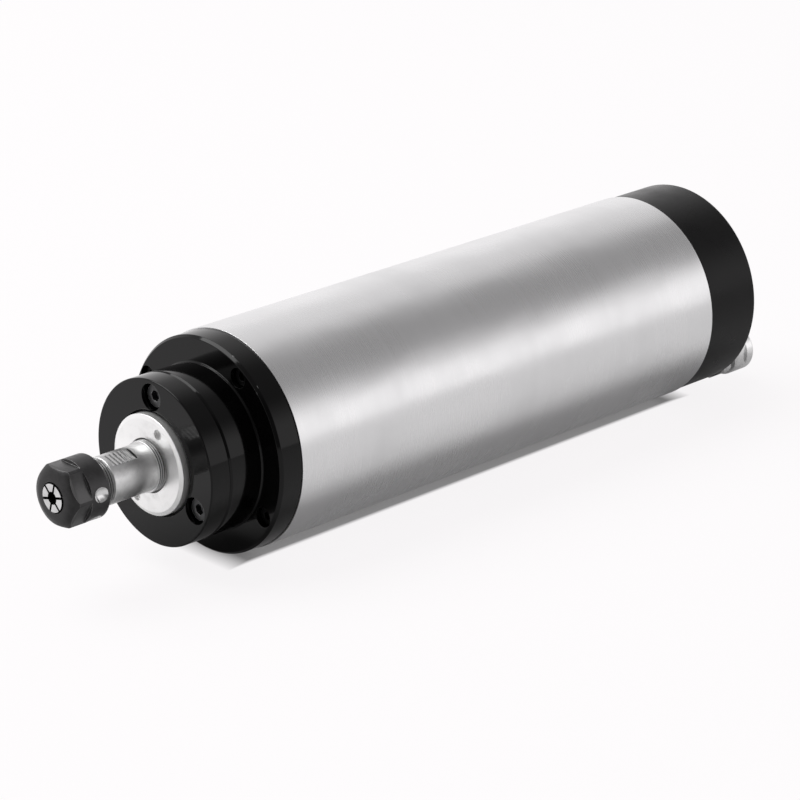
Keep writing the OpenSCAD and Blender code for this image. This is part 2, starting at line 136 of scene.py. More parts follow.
class Board:
    """Places and joins the nodes of one tree.

    Attributes:
        SIDE_PITCH: Pitch of the lathe lines on a face, as a share of their pitch along a cylinder.
        EDGE_COSINES: Cosines of the turn at which the mask of an edge begins, and at which it is full.
    """

    SIDE_PITCH = 0.83
    EDGE_COSINES = (0.995, 0.9)

    def __init__(self, tree: bpy.types.NodeTree) -> None:
        """Keeps the tree that the nodes go into."""
        self.tree = tree

    def feed(self, socket: NodeSocket, value: Value) -> None:
        """Links a socket to an input, or sets the input to a plain value.

        Args:
            socket: The input.
            value: The socket to link, or the value.
        """
        if isinstance(value, NodeSocket):
            self.tree.links.new(value, socket)
        else:
            socket.default_value = value

    def add(self, kind: str, values: dict[str | int, Value] | None = None,
            **settings: object) -> bpy.types.Node:
        """Adds one node.

        Args:
            kind: Blender's name of the node type.
            values: Inputs by name or number, each a plain value or a socket to link.
            **settings: Properties of the node itself.

        Returns:
            The new node.
        """
        node = self.tree.nodes.new(kind)
        for key, setting in settings.items():
            setattr(node, key, setting)
        for key, value in (values or {}).items():
            self.feed(node.inputs[key], value)
        return node

    def math(self, operation: str, a: Value, b: Value = 0.0, clamp: bool = False) -> NodeSocket:
        """Adds a Math node.

        Args:
            operation: The name of the operation.
            a: First operand.
            b: Second operand.
            clamp: Whether the result is kept between 0 and 1.

        Returns:
            The socket of the result.
        """
        node = self.add("ShaderNodeMath", operation=operation, use_clamp=clamp)
        self.feed(node.inputs[0], a)
        self.feed(node.inputs[1], b)
        return node.outputs[0]

    def chain(self, operation: str, values: Sequence[Value]) -> NodeSocket:
        """Runs one operation over values, from left to right.

        Args:
            operation: The name of the operation.
            values: Two values or more.

        Returns:
            The socket of the result.
        """
        result, *others = values
        for value in others:
            result = self.math(operation, result, value)
        return result

    def plus(self, *values: Value) -> NodeSocket:
        """Adds values up."""
        return self.chain("ADD", values)

    def times(self, *values: Value) -> NodeSocket:
        """Multiplies values."""
        return self.chain("MULTIPLY", values)

    def most(self, *values: Value) -> NodeSocket:
        """Returns the largest of some values."""
        return self.chain("MAXIMUM", values)

    def minus(self, a: Value, b: Value) -> NodeSocket:
        """Takes the second value from the first."""
        return self.math("SUBTRACT", a, b)

    def over(self, a: Value, b: Value) -> NodeSocket:
        """Divides the first value by the second."""
        return self.math("DIVIDE", a, b)

    def size(self, value: Value) -> NodeSocket:
        """Drops the sign of a value."""
        return self.math("ABSOLUTE", value)

    def above(self, a: Value, b: Value) -> NodeSocket:
        """Returns 1 where the first value is greater than the second, and 0 elsewhere."""
        return self.math("GREATER_THAN", a, b)

    def distance(self, x: Value, z: Value) -> NodeSocket:
        """Returns the distance from a line along Y, from X and Z beside it."""
        return self.math("SQRT", self.plus(self.times(x, x), self.times(z, z)))

    def spread(self, value: Value, low: float, high: float, to_low: float, to_high: float,
               soft: bool = False) -> NodeSocket:
        """Maps a value from one range to another, clamped.

        Args:
            value: The value to map.
            low: Start of its range.
            high: End of its range.
            to_low: Result at the start.
            to_high: Result at the end.
            soft: Whether the result eases in and out.

        Returns:
            The socket of the result.
        """
        node = self.add("ShaderNodeMapRange", {0: value, 1: low, 2: high, 3: to_low, 4: to_high},
                        interpolation_type="SMOOTHSTEP" if soft else "LINEAR")
        return node.outputs[0]

    def blend(self, factor: Value, a: Value, b: Value) -> NodeSocket:
        """Mixes two colours.

        Args:
            factor: 0 for the first colour, 1 for the second.
            a: First colour.
            b: Second colour.

        Returns:
            The socket of the mixed colour.
        """
        node = self.add("ShaderNodeMix", data_type="RGBA")
        self.feed(node.inputs[0], factor)
        for socket, colour in ((node.inputs[6], a), (node.inputs[7], b)):
            self.feed(socket, colour if isinstance(colour, NodeSocket) else (*colour, 1.0))
        return node.outputs[2]

    def place(self) -> NodeSocket:
        """Returns the position on the piece, in metres, in the piece's own axes."""
        return self.add("ShaderNodeTexCoord").outputs["Object"]

    def parts(self, vector: NodeSocket) -> tuple[NodeSocket, ...]:
        """Returns X, Y and Z of a vector."""
        return tuple(self.add("ShaderNodeSeparateXYZ", {0: vector}).outputs)

    def facing(self) -> NodeSocket:
        """Returns Y of the surface's direction, which is -1 on a face that looks to the nose's side."""
        return self.parts(self.add("ShaderNodeTexCoord").outputs["Normal"])[1]

    def grain(self, scale: Sequence[float], detail: float = 3.0, rough: float = 0.55) -> NodeSocket:
        """Adds noise that is stretched along the axes.

        Args:
            scale: Cells per metre along X, Y and Z.
            detail: Octaves of the noise.
            rough: How strong the fine octaves are.

        Returns:
            The socket of the noise, near 0.5 on average.
        """
        mapping = self.add("ShaderNodeMapping", {"Vector": self.place(), "Scale": scale})
        noise = self.add("ShaderNodeTexNoise", {"Vector": mapping.outputs[0], "Scale": 1.0,
                                                "Detail": detail, "Roughness": rough})
        return noise.outputs[0]

    def lathe_lines(self, pitch: float) -> NodeSocket:
        """Adds fine rings about the spindle axis, on faces and on cylinders alike.

        Args:
            pitch: Distance between the rings, in millimetres.

        Returns:
            The socket of the pattern, near 0.5 on average.
        """
        x, y, z = self.parts(self.place())
        along = self.plus(self.distance(x, z), self.times(y, self.SIDE_PITCH))
        noise = self.add("ShaderNodeTexNoise", {"W": self.over(along, pitch * MM), "Scale": 1.0,
                                                "Detail": 2.0, "Roughness": 0.6}, noise_dimensions="1D")
        return noise.outputs[0]

    def mark(self, name: str) -> NodeSocket:
        """Reads a number that the piece's own mesh carries."""
        return self.add("ShaderNodeAttribute", attribute_name=name, attribute_type="GEOMETRY").outputs["Fac"]

    def soft_edge(self, radius: float) -> tuple[NodeSocket, NodeSocket]:
        """Rounds the edges for the light only, and finds them.

        Args:
            radius: Radius of the rounding, in millimetres.

        Returns:
            The sockets of the rounded normal, and of a mask that is 1 on an edge.
        """
        bevel = self.add("ShaderNodeBevel", {"Radius": radius * MM}, samples=6)
        plain = self.add("ShaderNodeNewGeometry").outputs["Normal"]
        same = self.add("ShaderNodeVectorMath", {0: bevel.outputs[0], 1: plain}, operation="DOT_PRODUCT")
        return bevel.outputs[0], self.spread(same.outputs["Value"], *self.EDGE_COSINES, 0.0, 1.0)

    def relief(self, height: Value, depth: float, before: Value | None = None) -> NodeSocket:
        """Turns a height pattern into a bent normal.

        Args:
            height: The pattern, 0 to 1.
            depth: Height of the pattern in millimetres.
            before: Normal to start from.

        Returns:
            The socket of the normal.
        """
        node = self.add("ShaderNodeBump", {"Strength": 1.0, "Distance": depth * MM, "Height": height})
        if before is not None:
            self.feed(node.inputs["Normal"], before)
        return node.outputs[0]


class Rule:
    """A Geometry Nodes tree with named inputs, which ends in Realize Instances and Set Material.

    Attributes:
        SKIN: A point less than this under a surface counts as on it, in metres.
        TINY: Least length that the tree divides by, in metres.
    """

    SKIN = 2e-5
    TINY = 1e-6

    def __init__(self, name: str, inputs: dict[str, str]) -> None:
        """Makes the tree and its inputs.

        Args:
            name: Name of the tree.
            inputs: Socket type by input name.
        """
        self.tree = bpy.data.node_groups.new(name, "GeometryNodeTree")
        face = self.tree.interface
        face.new_socket(name="Geometry", in_out="OUTPUT", socket_type="NodeSocketGeometry")
        face.new_socket(name="Geometry", in_out="INPUT", socket_type="NodeSocketGeometry")
        self.keys = {label: face.new_socket(name=label, in_out="INPUT", socket_type=kind).identifier
                     for label, kind in {"Finish": "NodeSocketMaterial", **inputs}.items()}
        self.board = Board(self.tree)
        self.source = self.board.add("NodeGroupInput")

    def given(self, label: str) -> NodeSocket:
        """Returns the socket of a named input, for use inside the tree."""
        return self.source.outputs[label]

    def point(self) -> tuple[NodeSocket, ...]:
        """Returns X, Y and Z of the point that the rule works on."""
        return self.board.parts(self.board.add("GeometryNodeInputPosition").outputs[0])

    def outside(self, reach: NodeSocket) -> NodeSocket:
        """Returns 1 where a distance from the axis lies on the outer surface, and 0 under it."""
        return self.board.above(reach, self.board.minus(self.given("Major Radius"), self.SKIN))

    def sink(self, depth: NodeSocket, x: NodeSocket, z: NodeSocket, groove: NodeSocket) -> None:
        """Moves points towards the axis, marks the grooves for painted shade, and closes the tree.

        Args:
            depth: How far each point moves.
            x: Its X from the axis.
            z: Its Z from the axis.
            groove: Its mark, 1 where the most shade is painted.
        """
        board = self.board
        share = board.over(depth, board.most(board.distance(x, z), self.TINY))
        shift = board.add("ShaderNodeCombineXYZ", {0: board.times(x, share, -1.0), 1: 0.0,
                                                   2: board.times(z, share, -1.0)})
        known = board.add("GeometryNodeInputNamedAttribute", {"Name": SHADE_MARK}, data_type="FLOAT").outputs[0]
        kept = board.add("GeometryNodeStoreNamedAttribute",
                         {"Geometry": self.given("Geometry"), "Name": SHADE_MARK,
                          "Value": board.most(known, groove)}, data_type="FLOAT", domain="POINT")
        moved = board.add("GeometryNodeSetPosition", {"Geometry": kept.outputs[0],
                                                      "Offset": shift.outputs[0]})
        self.close(moved.outputs[0])

    def close(self, geometry: NodeSocket) -> None:
        """Realises the instances, sets the material and joins the result to the output.

        Args:
            geometry: The tree's result.
        """
        real = self.board.add("GeometryNodeRealizeInstances", {"Geometry": geometry})
        coated = self.board.add("GeometryNodeSetMaterial", {"Geometry": real.outputs[0],
                                                            "Material": self.given("Finish")})
        self.board.add("NodeGroupOutput", {"Geometry": coated.outputs[0]})

    def run(self, piece: bpy.types.Object, finish: bpy.types.Material, **values: object) -> None:
        """Runs the tree on a piece and keeps the result as the piece's own mesh.

        Args:
            piece: The object that the rule works on.
            finish: Material of the result.
            **values: Inputs by name, with underscores for spaces.
        """
        modifier = piece.modifiers.new(self.tree.name, "NODES")
        modifier.node_group = self.tree
        modifier[self.keys["Finish"]] = finish
        for label, value in values.items():
            modifier[self.keys[label.replace("_", " ")]] = value
        piece.update_tag()
        settle(piece)


def thread_rule() -> Rule:
    """Builds the rule that cuts a screw thread into a cylinder about Y.

    Returns:
        The rule.  Its lengths are metres.
    """
    # The third number is the share of painted shade over the whole thread; the root of the groove gets it in
    # full.
    root, flank, painted_shade = 1.15, 1.3, 0.35
    rule = Rule("screw thread", {label: "NodeSocketFloat" for label in
                                 ("Start", "End", "Pitch", "Depth", "Major Radius", "Centre X", "Centre Z")})
    board, given = rule.board, rule.given
    x, y, z = rule.point()
    x = board.minus(x, given("Centre X"))
    z = board.minus(z, given("Centre Z"))
    turn = board.over(board.math("ARCTAN2", z, x), 2 * math.pi)
    phase = board.math("FRACT", board.minus(board.over(y, given("Pitch")), turn))
    side = board.times(board.size(board.minus(phase, 0.5)), 2.0)
    groove = board.math("SUBTRACT", root, board.times(side, flank), clamp=True)
    lead_in = board.math("DIVIDE", board.minus(y, given("Start")), given("Pitch"), clamp=True)
    lead_out = board.math("DIVIDE", board.minus(given("End"), y), given("Pitch"), clamp=True)
    zone = board.times(lead_in, lead_out, rule.outside(board.distance(x, z)))
    depth = board.times(groove, given("Depth"), zone)
    cut_share = board.over(depth, board.most(given("Depth"), rule.TINY))
    rule.sink(depth, x, z, board.most(cut_share, board.times(zone, painted_shade)))
    return rule


def flats_rule() -> Rule:
    """Builds the rule that mills two opposite flats with cutter marks into a bar about Y.

    Returns:
        The rule.  Its lengths are metres and its angles radians.
    """
    least_facing, crest_power, wall_width = 0.05, 0.6, 3.5e-4
    rule = Rule("milled flats", {label: "NodeSocketFloat" for label in
                                 ("Start", "End", "Half Distance", "Angle", "Ripple", "Ripple Pitch", "Slant",
                                  "Major Radius")})
    board, given = rule.board, rule.given
    x, y, z = rule.point()
    reach = board.distance(x, z)
    around = board.minus(board.math("ARCTAN2", z, x), given("Angle"))
    facing = board.most(board.size(board.math("COSINE", around)), least_facing)
    aside = board.times(reach, board.math("SINE", around))
    along = board.plus(board.times(y, board.math("COSINE", given("Slant"))),
                       board.times(aside, board.math("SINE", given("Slant"))))
    wave = board.math("SINE", board.over(board.times(along, 2 * math.pi), given("Ripple Pitch")))
    crest = board.math("POWER", board.size(wave), crest_power)
    level = board.plus(given("Half Distance"), board.times(crest, given("Ripple")))
    where = board.times(board.above(y, given("Start")), board.above(given("End"), y), rule.outside(reach))
    cut = board.times(board.most(board.minus(reach, board.over(level, facing)), 0.0), where)
    milled = board.above(cut, rule.SKIN)
    # The step wall at the end of the flats and the troughs of the cutter marks get painted shade.
    wall = board.times(board.above(y, board.minus(given("End"), wall_width)), milled)
    trough_shade = board.times(board.spread(crest, 0.25, 0.85, 0.62, 0.0), milled)
    rule.sink(cut, x, z, board.most(wall, trough_shade))
    return rule


def fastener_rule() -> Rule:
    """Builds the rule that sets one fastener on each point, each turned by its own chance angle.

    Returns:
        The rule.
    """
    rule = Rule("fasteners on points", {"Fastener": "NodeSocketObject", "Seed": "NodeSocketInt"})
    board = rule.board
    shape = board.add("GeometryNodeObjectInfo", {"Object": rule.given("Fastener")})
    chance = board.add("FunctionNodeRandomValue", {2: 0.0, 3: math.pi / 3, "Seed": rule.given("Seed")},
                       data_type="FLOAT")
    spin = board.add("ShaderNodeCombineXYZ", {0: 0.0, 1: chance.outputs[1], 2: 0.0})
    turned_by = board.add("FunctionNodeEulerToRotation", {0: spin.outputs[0]})
    placed = board.add("GeometryNodeInstanceOnPoints", {"Points": rule.given("Geometry"),
                                                        "Instance": shape.outputs["Geometry"],
                                                        "Rotation": turned_by.outputs[0]})
    rule.close(placed.outputs[0])
    return rule


# ---------------------------------------------------------------------------------------------
# Finishes


@dataclass(frozen=True)
class Finish:
    """A surface finish: one shader with its plain values and a pattern of its own.

    Attributes:
        name: Name of the material.
        colour: Base colour, linear.
        metallic: 1 for bare metal, 0 for anything else.
        roughness: Mean roughness.
        ior: Index of refraction, which sets the gloss of what isn't metal.
    """

    name: str
    colour: Colour
    metallic: float = 0.0
    roughness: float = 0.4
    ior: float = 1.5

    def material(self) -> bpy.types.Material:
        """Finds the material of this finish, and makes it on first use.

        Returns:
            The material.
        """
        known = bpy.data.materials.get(self.name)
        if known is not None:
            return known
        made = bpy.data.materials.new(self.name)
        made.use_nodes = True
        made.node_tree.nodes.clear()
        board = Board(made.node_tree)
        shader = board.add("ShaderNodeBsdfPrincipled",
                           {"Metallic": self.metallic, "Roughness": self.roughness, "IOR": self.ior,
                            "Base Color": (*self.colour, 1.0)})
        self.pattern(board, shader)
        board.add("ShaderNodeOutputMaterial", {"Surface": shader.outputs[0]})
        made.diffuse_color = (*self.colour, 1.0)
        return made

    def shade(self, factor: float) -> Colour:
        """Returns the finish's colour times a factor."""
        return tuple(min(1.0, channel * factor) for channel in self.colour)

    def pattern(self, board: Board, shader: bpy.types.Node) -> None:
        """Adds a faint mottle and a fine grain, the least that any surface has.

        Args:
            board: The material's tree.
            shader: Its shader node.
        """
        mottle = board.grain((60, 60, 60), 4)
        board.feed(shader.inputs["Base Color"], board.blend(mottle, self.shade(0.8), self.shade(1.2)))
        fine = board.grain((2400, 2400, 2400), 2)
        board.feed(shader.inputs["Roughness"], board.spread(fine, 0.3, 0.7, self.roughness * 0.85,
                                                            min(1.0, self.roughness * 1.15)))
        board.feed(shader.inputs["Normal"], board.relief(fine, 0.01))


@dataclass(frozen=True)
class GroundSleeve(Finish):
    """Centreless-ground stainless tube: fine rings, soft smudges and a few drawn scratches."""

    def pattern(self, board: Board, shader: bpy.types.Node) -> None:
        """Adds grinding rings, smudges and scratches.

        Args:
            board: The material's tree.
            shader: Its shader node.
        """
        rings = board.grain((18, 5200, 18), 3, 0.7)
        smudge = board.grain((34, 24, 34), 5, 0.5)
        wipe = board.grain((14, 90, 14), 4, 0.6)
        wave = board.grain((42, 24, 42), 2, 0.4)
        dull = board.times(board.spread(smudge, 0.4, 0.68, 0.0, 1.0), board.spread(wipe, 0.3, 0.7, 0.3, 1.0))
        clean = board.blend(rings, self.shade(0.99), self.shade(1.01))
        board.feed(shader.inputs["Base Color"], board.blend(dull, clean, self.shade(0.90)))
        fine = board.spread(rings, 0.3, 0.7, self.roughness - 0.03, self.roughness + 0.03)
        board.feed(shader.inputs["Roughness"], board.plus(fine, board.times(dull, 0.1)))
        scratch = board.grain((70, 2500, 70), 1, 0.2)
        hair = board.spread(scratch, 0.77, 0.83, 0.0, 1.0)
        board.feed(shader.inputs["Normal"],
                   board.relief(hair, -0.0008, board.relief(rings, 0.00025, board.relief(wave, 0.65))))


@dataclass(frozen=True)
class Anodised(Finish):
    """Black anodised aluminium: turned rings under the film, and metal that shows at worn edges.

    Attributes:
        bare: Colour of the metal at a worn edge.
        wear: 0 for new edges, 1 for edges worn all round.
    """

    bare: Colour = (0.62, 0.62, 0.63)
    wear: float = 0.35

    def pattern(self, board: Board, shader: bpy.types.Node) -> None:
        """Adds rings, dust and edge wear.

        Args:
            board: The material's tree.
            shader: Its shader node.
        """
        rings = board.lathe_lines(0.09)
        dust = board.grain((140, 140, 140), 5, 0.62)
        round_edge, corner = board.soft_edge(0.12)
        edge = board.most(board.spread(board.mark(EDGE), 0.6, 0.95, 0.0, 1.0), corner)
        spared = 0.12 * self.wear
        area = board.spread(board.grain((75, 75, 75), 2), 0.74 - spared, 0.8 - spared, 0.0, 1.0)
        nick = board.spread(board.grain((900, 900, 900), 3, 0.6), 0.5, 0.6, 0.0, 1.0)
        worn = board.times(edge, board.times(area, nick))
        film = board.blend(dust, self.shade(0.7), self.shade(1.4))
        board.feed(shader.inputs["Base Color"], board.blend(worn, film, self.bare))
        board.feed(shader.inputs["Metallic"], worn)
        board.feed(shader.inputs["Roughness"],
                   board.spread(dust, 0.3, 0.75, self.roughness * 0.85, self.roughness * 1.25))
        fine = board.grain((5200, 5200, 5200), 2, 0.5)
        board.feed(shader.inputs["Normal"],
                   board.relief(fine, 0.00025, board.relief(rings, 0.0002, round_edge)))


@dataclass(frozen=True)
class Turned(Finish):
    """Bright metal straight off the lathe or grinder, with rings and a stretched sheen.

    Attributes:
        pitch: Distance between the tool marks, in millimetres.
        depth: Depth of the tool marks, in millimetres.
        sheen: How far the highlight is stretched across the marks.
        stain: Strength of the tarnish.
        stain_radius: Tarnish gathers within this distance of the axis, in millimetres.
        side: How much rougher the surfaces along the axis are than the faces across it.
        painted_shade: Colour painted as shade in grooves, in troughs and on step walls.
    """

    pitch: float = 0.12
    depth: float = 0.0012
    sheen: float = 0.6
    stain: float = 0.3
    stain_radius: float = 9.5
    side: float = 0.0
    painted_shade: Colour = (0.02, 0.02, 0.02)

    def pattern(self, board: Board, shader: bpy.types.Node) -> None:
        """Adds tool marks, the stretched sheen, tarnish and painted shade in grooves.

        Args:
            board: The material's tree.
            shader: Its shader node.
        """
        rings = board.lathe_lines(self.pitch)
        cloud = board.grain((260, 260, 260), 5, 0.65)
        x, _, z = board.parts(board.place())
        near = board.spread(board.distance(x, z), (self.stain_radius - 2.2) * MM,
                            (self.stain_radius + 1.5) * MM, 1.0, 0.25)
        tarnish = board.times(board.spread(cloud, 0.48, 0.72, 0.0, 1.0), near, self.stain)
        clean = board.blend(rings, self.shade(0.93), self.shade(1.05))
        stained = board.blend(tarnish, clean, self.shade(0.45))
        # Painted shade: the groove mark darkens grooves, troughs and step walls towards the shade colour, and
        # roughens them.
        shade_mask = board.spread(board.mark(SHADE_MARK), 0.0, 0.95, 0.0, 0.97)
        board.feed(shader.inputs["Base Color"], board.blend(shade_mask, stained, self.painted_shade))
        side = board.spread(board.size(board.facing()), 0.25, 0.05, 0.0, self.side)
        grain = board.plus(board.spread(rings, 0.3, 0.7, self.roughness * 0.85, self.roughness * 1.15),
                           board.times(tarnish, 0.25))
        board.feed(shader.inputs["Roughness"],
                   board.math("ADD", board.plus(grain, side), board.times(shade_mask, 0.3), clamp=True))
        board.feed(shader.inputs["Normal"], board.relief(rings, self.depth))
        shader.inputs["Anisotropic"].default_value = self.sheen
        round_about = board.add("ShaderNodeCombineXYZ", {0: board.times(z, -1.0), 1: 0.0, 2: x})
        world = board.add("ShaderNodeVectorTransform", {0: round_about.outputs[0]}, vector_type="VECTOR",
                          convert_from="OBJECT", convert_to="WORLD")
        unit = board.add("ShaderNodeVectorMath", {0: world.outputs[0]}, operation="NORMALIZE")
        board.feed(shader.inputs["Tangent"], unit.outputs[0])


@dataclass(frozen=True)
class Oxide(Finish):
    """Black-oxide steel: dark, slightly metallic, with tool marks, worn corners with a painted highlight, and
    a factor that paints shade on the faces towards -Y.

    Attributes:
        wear_and_highlight: How much lighter a corner is than the film, for its wear and a painted highlight.
        front: How bright the faces towards -Y are painted, beside the rest; below 1 it paints shade on them.
    """

    wear_and_highlight: float = 4.0
    front: float = 1.0

    def pattern(self, board: Board, shader: bpy.types.Node) -> None:
        """Adds a mottled film, tool marks, worn corners with a painted highlight, and painted shade on faces
        towards -Y.

        Args:
            board: The material's tree.
            shader: Its shader node.
        """
        cloud = board.grain((420, 420, 420), 5, 0.65)
        rings = board.lathe_lines(0.11)
        round_edge, corner = board.soft_edge(0.22)
        edge = board.most(board.spread(board.mark(EDGE), 0.5, 1.0, 0.0, 0.8), corner)
        # Painted highlight: corners are lightened for their wear and for the light that their chamfers catch.
        edge_wear_and_highlight = board.times(edge, board.spread(cloud, 0.35, 0.62, 0.15, 0.9))
        # Painted shade: faces that look towards -Y take a film scaled by front, which darkens them when it is
        # below 1.
        ahead = board.spread(board.facing(), -0.3, -0.6, 0.0, 1.0)
        film = board.blend(ahead, board.blend(cloud, self.shade(0.65), self.shade(1.45)),
                           board.blend(cloud, self.shade(0.5 * self.front), self.shade(1.8 * self.front)))
        board.feed(shader.inputs["Base Color"], board.blend(edge_wear_and_highlight, film, self.shade(self.wear_and_highlight)))
        board.feed(shader.inputs["Roughness"],
                   board.spread(cloud, 0.3, 0.7, self.roughness * 0.8, self.roughness * 1.25))
        fine = board.grain((3000, 3000, 3000), 2, 0.5)
        board.feed(shader.inputs["Normal"],
                   board.relief(fine, 0.0018, board.relief(rings, 0.001, round_edge)))


@dataclass(frozen=True)
class Layered(Finish):
    """Thin layers or turns of wire along Y, such as core plates or a wound coil.

    Attributes:
        pitch: Thickness of a layer, in millimetres.
        lift: Height of a layer's crown, in millimetres.
    """

    pitch: float = 0.5
    lift: float = 0.02

    def pattern(self, board: Board, shader: bpy.types.Node) -> None:
        """Adds the layers, painted shade where they meet, and a mottle.

        Args:
            board: The material's tree.
            shader: Its shader node.
        """
        wobble = board.times(board.grain((180, 180, 180), 2), self.pitch * MM * 0.8)
        along = board.over(board.plus(board.parts(board.place())[1], wobble), self.pitch * MM)
        crown = board.size(board.math("SINE", board.times(along, math.pi)))
        mottle = board.grain((90, 90, 90), 4)
        # Painted shade: the colour falls to 0.45 of the finish in the valley where two layers meet.
        tone = board.blend(crown, self.shade(0.45), self.shade(1.15))
        board.feed(shader.inputs["Base Color"],
                   board.blend(board.spread(mottle, 0.4, 0.8, 0.0, 0.5), tone, self.shade(0.7)))
        board.feed(shader.inputs["Normal"], board.relief(crown, self.lift))


SLEEVE = GroundSleeve("Ground stainless sleeve", (0.78, 0.78, 0.785), 1.0, 0.265)
BLACK = Anodised("Black anodised aluminium", (0.0011, 0.00105, 0.0011), 0.0, 0.09, 1.305, wear=0.8)
CAP_BLACK = Anodised("Black anodised rear cap", (0.003, 0.0028, 0.003), 0.0, 0.3, 1.26, wear=0.0)
NUT_FACE = Turned("Turned lock nut steel", (0.95, 0.95, 0.945), 1.0, 0.34,
                  pitch=0.16, depth=0.0012, sheen=0.6, stain=0.5, side=0.3)
SHAFT_STEEL = Turned("Ground shaft steel", (0.74, 0.74, 0.74), 1.0, 0.34,
                     pitch=0.1, depth=0.001, sheen=0.6, stain=0.4, stain_radius=20.0)
COLLET_STEEL = Turned("Hardened collet steel", (0.66, 0.66, 0.66), 1.0, 0.34,
                      pitch=0.08, depth=0.0008, sheen=0.4, stain=0.4, stain_radius=4.0)
# Near-black paint for cut faces: painted shade in the collet's slots, its mouth and the gap round its front.
SLOT_SHADE = Turned("Collet slot painted shade", (0.03, 0.03, 0.03), 1.0, 0.6,
              pitch=0.1, depth=0.002, sheen=0.0, stain=0.3)
# front=0.62 paints shade on the nut's dome and cone, which face the nose.
OXIDE = Oxide("Black oxide steel", (0.058, 0.057, 0.058), 0.9, 0.42, front=0.62)
OXIDE_FLAT = Oxide("Black oxide milled flat", (0.088, 0.087, 0.088), 0.9, 0.36, wear_and_highlight=3.0)
DRILLED = Turned("Bare drilled steel", (0.72, 0.72, 0.72), 1.0, 0.2,
                 pitch=0.2, depth=0.002, sheen=0.0, stain=0.1)
# Its lightened head edges are wear with a painted highlight on the head's chamfer.
SCREW_BLACK = Oxide("Oxided socket screw", (0.058, 0.058, 0.059), 0.8, 0.36, wear_and_highlight=8.0)
# A darker copy of the screw finish: painted shade on the screws sunk deep in the bell's counterbores.
SUNK_SCREW_SHADE = Oxide("Painted shade on sunk screw", (0.008, 0.008, 0.0083), 0.8, 0.4, wear_and_highlight=4.0)
PLATED = Turned("Nickel-plated brass", (0.84, 0.84, 0.84), 1.0, 0.26,
                pitch=0.2, depth=0.0008, sheen=0.2, stain=0.15)
CHROME = Turned("Chromed zinc", (0.78, 0.78, 0.79), 1.0, 0.16,
                pitch=0.3, depth=0.0004, sheen=0.0, stain=0.1)
GOLD = Finish("Gold-plated contact", (0.95, 0.68, 0.30), 1.0, 0.22)
INSULATOR = Finish("Black moulded insulator", (0.012, 0.012, 0.013), 0.0, 0.45)
RUBBER = Finish("Seal rubber", (0.012, 0.012, 0.012), 0.0, 0.7)
LEAD = Finish("Silicone lead insulation", (0.45, 0.05, 0.03), 0.0, 0.5)
BEARING = Turned("Bearing steel", (0.74, 0.74, 0.75), 1.0, 0.14,
                 pitch=0.08, depth=0.0004, sheen=0.3, stain=0.0)
RESIN = Finish("Laminated resin cage", (0.33, 0.17, 0.06), 0.0, 0.55)
COPPER = Layered("Enamelled copper winding", (0.62, 0.21, 0.08), 0.7, 0.35, pitch=0.62, lift=0.06)
CORE = Layered("Stacked core plates", (0.32, 0.33, 0.35), 0.9, 0.42, pitch=0.5, lift=0.02)
CAST = Finish("Die-cast rotor aluminium", (0.70, 0.71, 0.73), 1.0, 0.45)
JACKET = Turned("Milled jacket aluminium", (0.74, 0.75, 0.77), 1.0, 0.32,
                pitch=0.3, depth=0.002, sheen=0.2, stain=0.1)
SPRING = Finish("Blued spring steel", (0.16, 0.18, 0.24), 1.0, 0.3)
SPACER = Turned("Ground spacer steel", (0.66, 0.66, 0.68), 1.0, 0.2,
                pitch=0.1, depth=0.0006, sheen=0.3, stain=0.0)


# ---------------------------------------------------------------------------------------------
# Mesh tools


def link(name: str, mesh: bpy.types.Mesh) -> bpy.types.Object:
    """Makes an object of a mesh and puts it in the scene.

    Args:
        name: Name of the object.
        mesh: Its mesh.

    Returns:
        The new object.
    """
    thing = bpy.data.objects.new(name, mesh)
    bpy.context.scene.collection.objects.link(thing)
    return thing


def settle(piece: bpy.types.Object) -> None:
    """Turns the evaluated piece into its plain mesh and drops its modifiers.

    Args:
        piece: The object.
    """
    graph = bpy.context.evaluated_depsgraph_get()
    mesh = bpy.data.meshes.new_from_object(piece.evaluated_get(graph), preserve_all_data_layers=True,
                                           depsgraph=graph)
    old = piece.data
    piece.modifiers.clear()
    piece.data = mesh
    bpy.data.meshes.remove(old)


def discard(*things: bpy.types.Object) -> None:
    """Removes objects that were only tools.

    Args:
        *things: The objects.
    """
    for thing in things:
        mesh = thing.data
        bpy.data.objects.remove(thing)
        if mesh is not None and mesh.users == 0:
            bpy.data.meshes.remove(mesh)


def joined(name: str, things: Sequence[bpy.types.Object]) -> bpy.types.Object:
    """Joins meshes into one object, and keeps their materials.

    Args:
        name: Name of the result.
        things: Objects to join; they are removed.

    Returns:
        The joined object.
    """
    store = bmesh.new()
    store.verts.layers.float.new(EDGE)
    finishes: list[bpy.types.Material] = []
    for thing in things:
        first = len(store.faces)
        numbers = []
        for finish in thing.data.materials or [None]:
            if finish not in finishes:
                finishes.append(finish)
            numbers.append(finishes.index(finish))
        store.from_mesh(thing.data)
        store.faces.ensure_lookup_table()
        for face in store.faces[first:]:
            face.material_index = numbers[min(face.material_index, len(numbers) - 1)]
    mesh = bpy.data.meshes.new(name)
    store.to_mesh(mesh)
    store.free()
    for finish in finishes:
        mesh.materials.append(finish)
    discard(*things)
    return link(name, mesh)


def carve(piece: bpy.types.Object, tools: Sequence[bpy.types.Object],
          cut: Cut = Cut.TAKE_AWAY) -> None:
    """Cuts tools out of a piece, or keeps what it shares with them, and removes them.

    Args:
        piece: The object that is cut.
        tools: Closed solids that don't touch each other.
        cut: What is done with the tools.
    """
    tool = joined("tools", tools)
    modifier = piece.modifiers.new("cut", "BOOLEAN")
    modifier.operation = cut.value
    modifier.solver = "EXACT"
    modifier.material_mode = "TRANSFER"
    modifier.object = tool
    settle(piece)
    discard(tool)


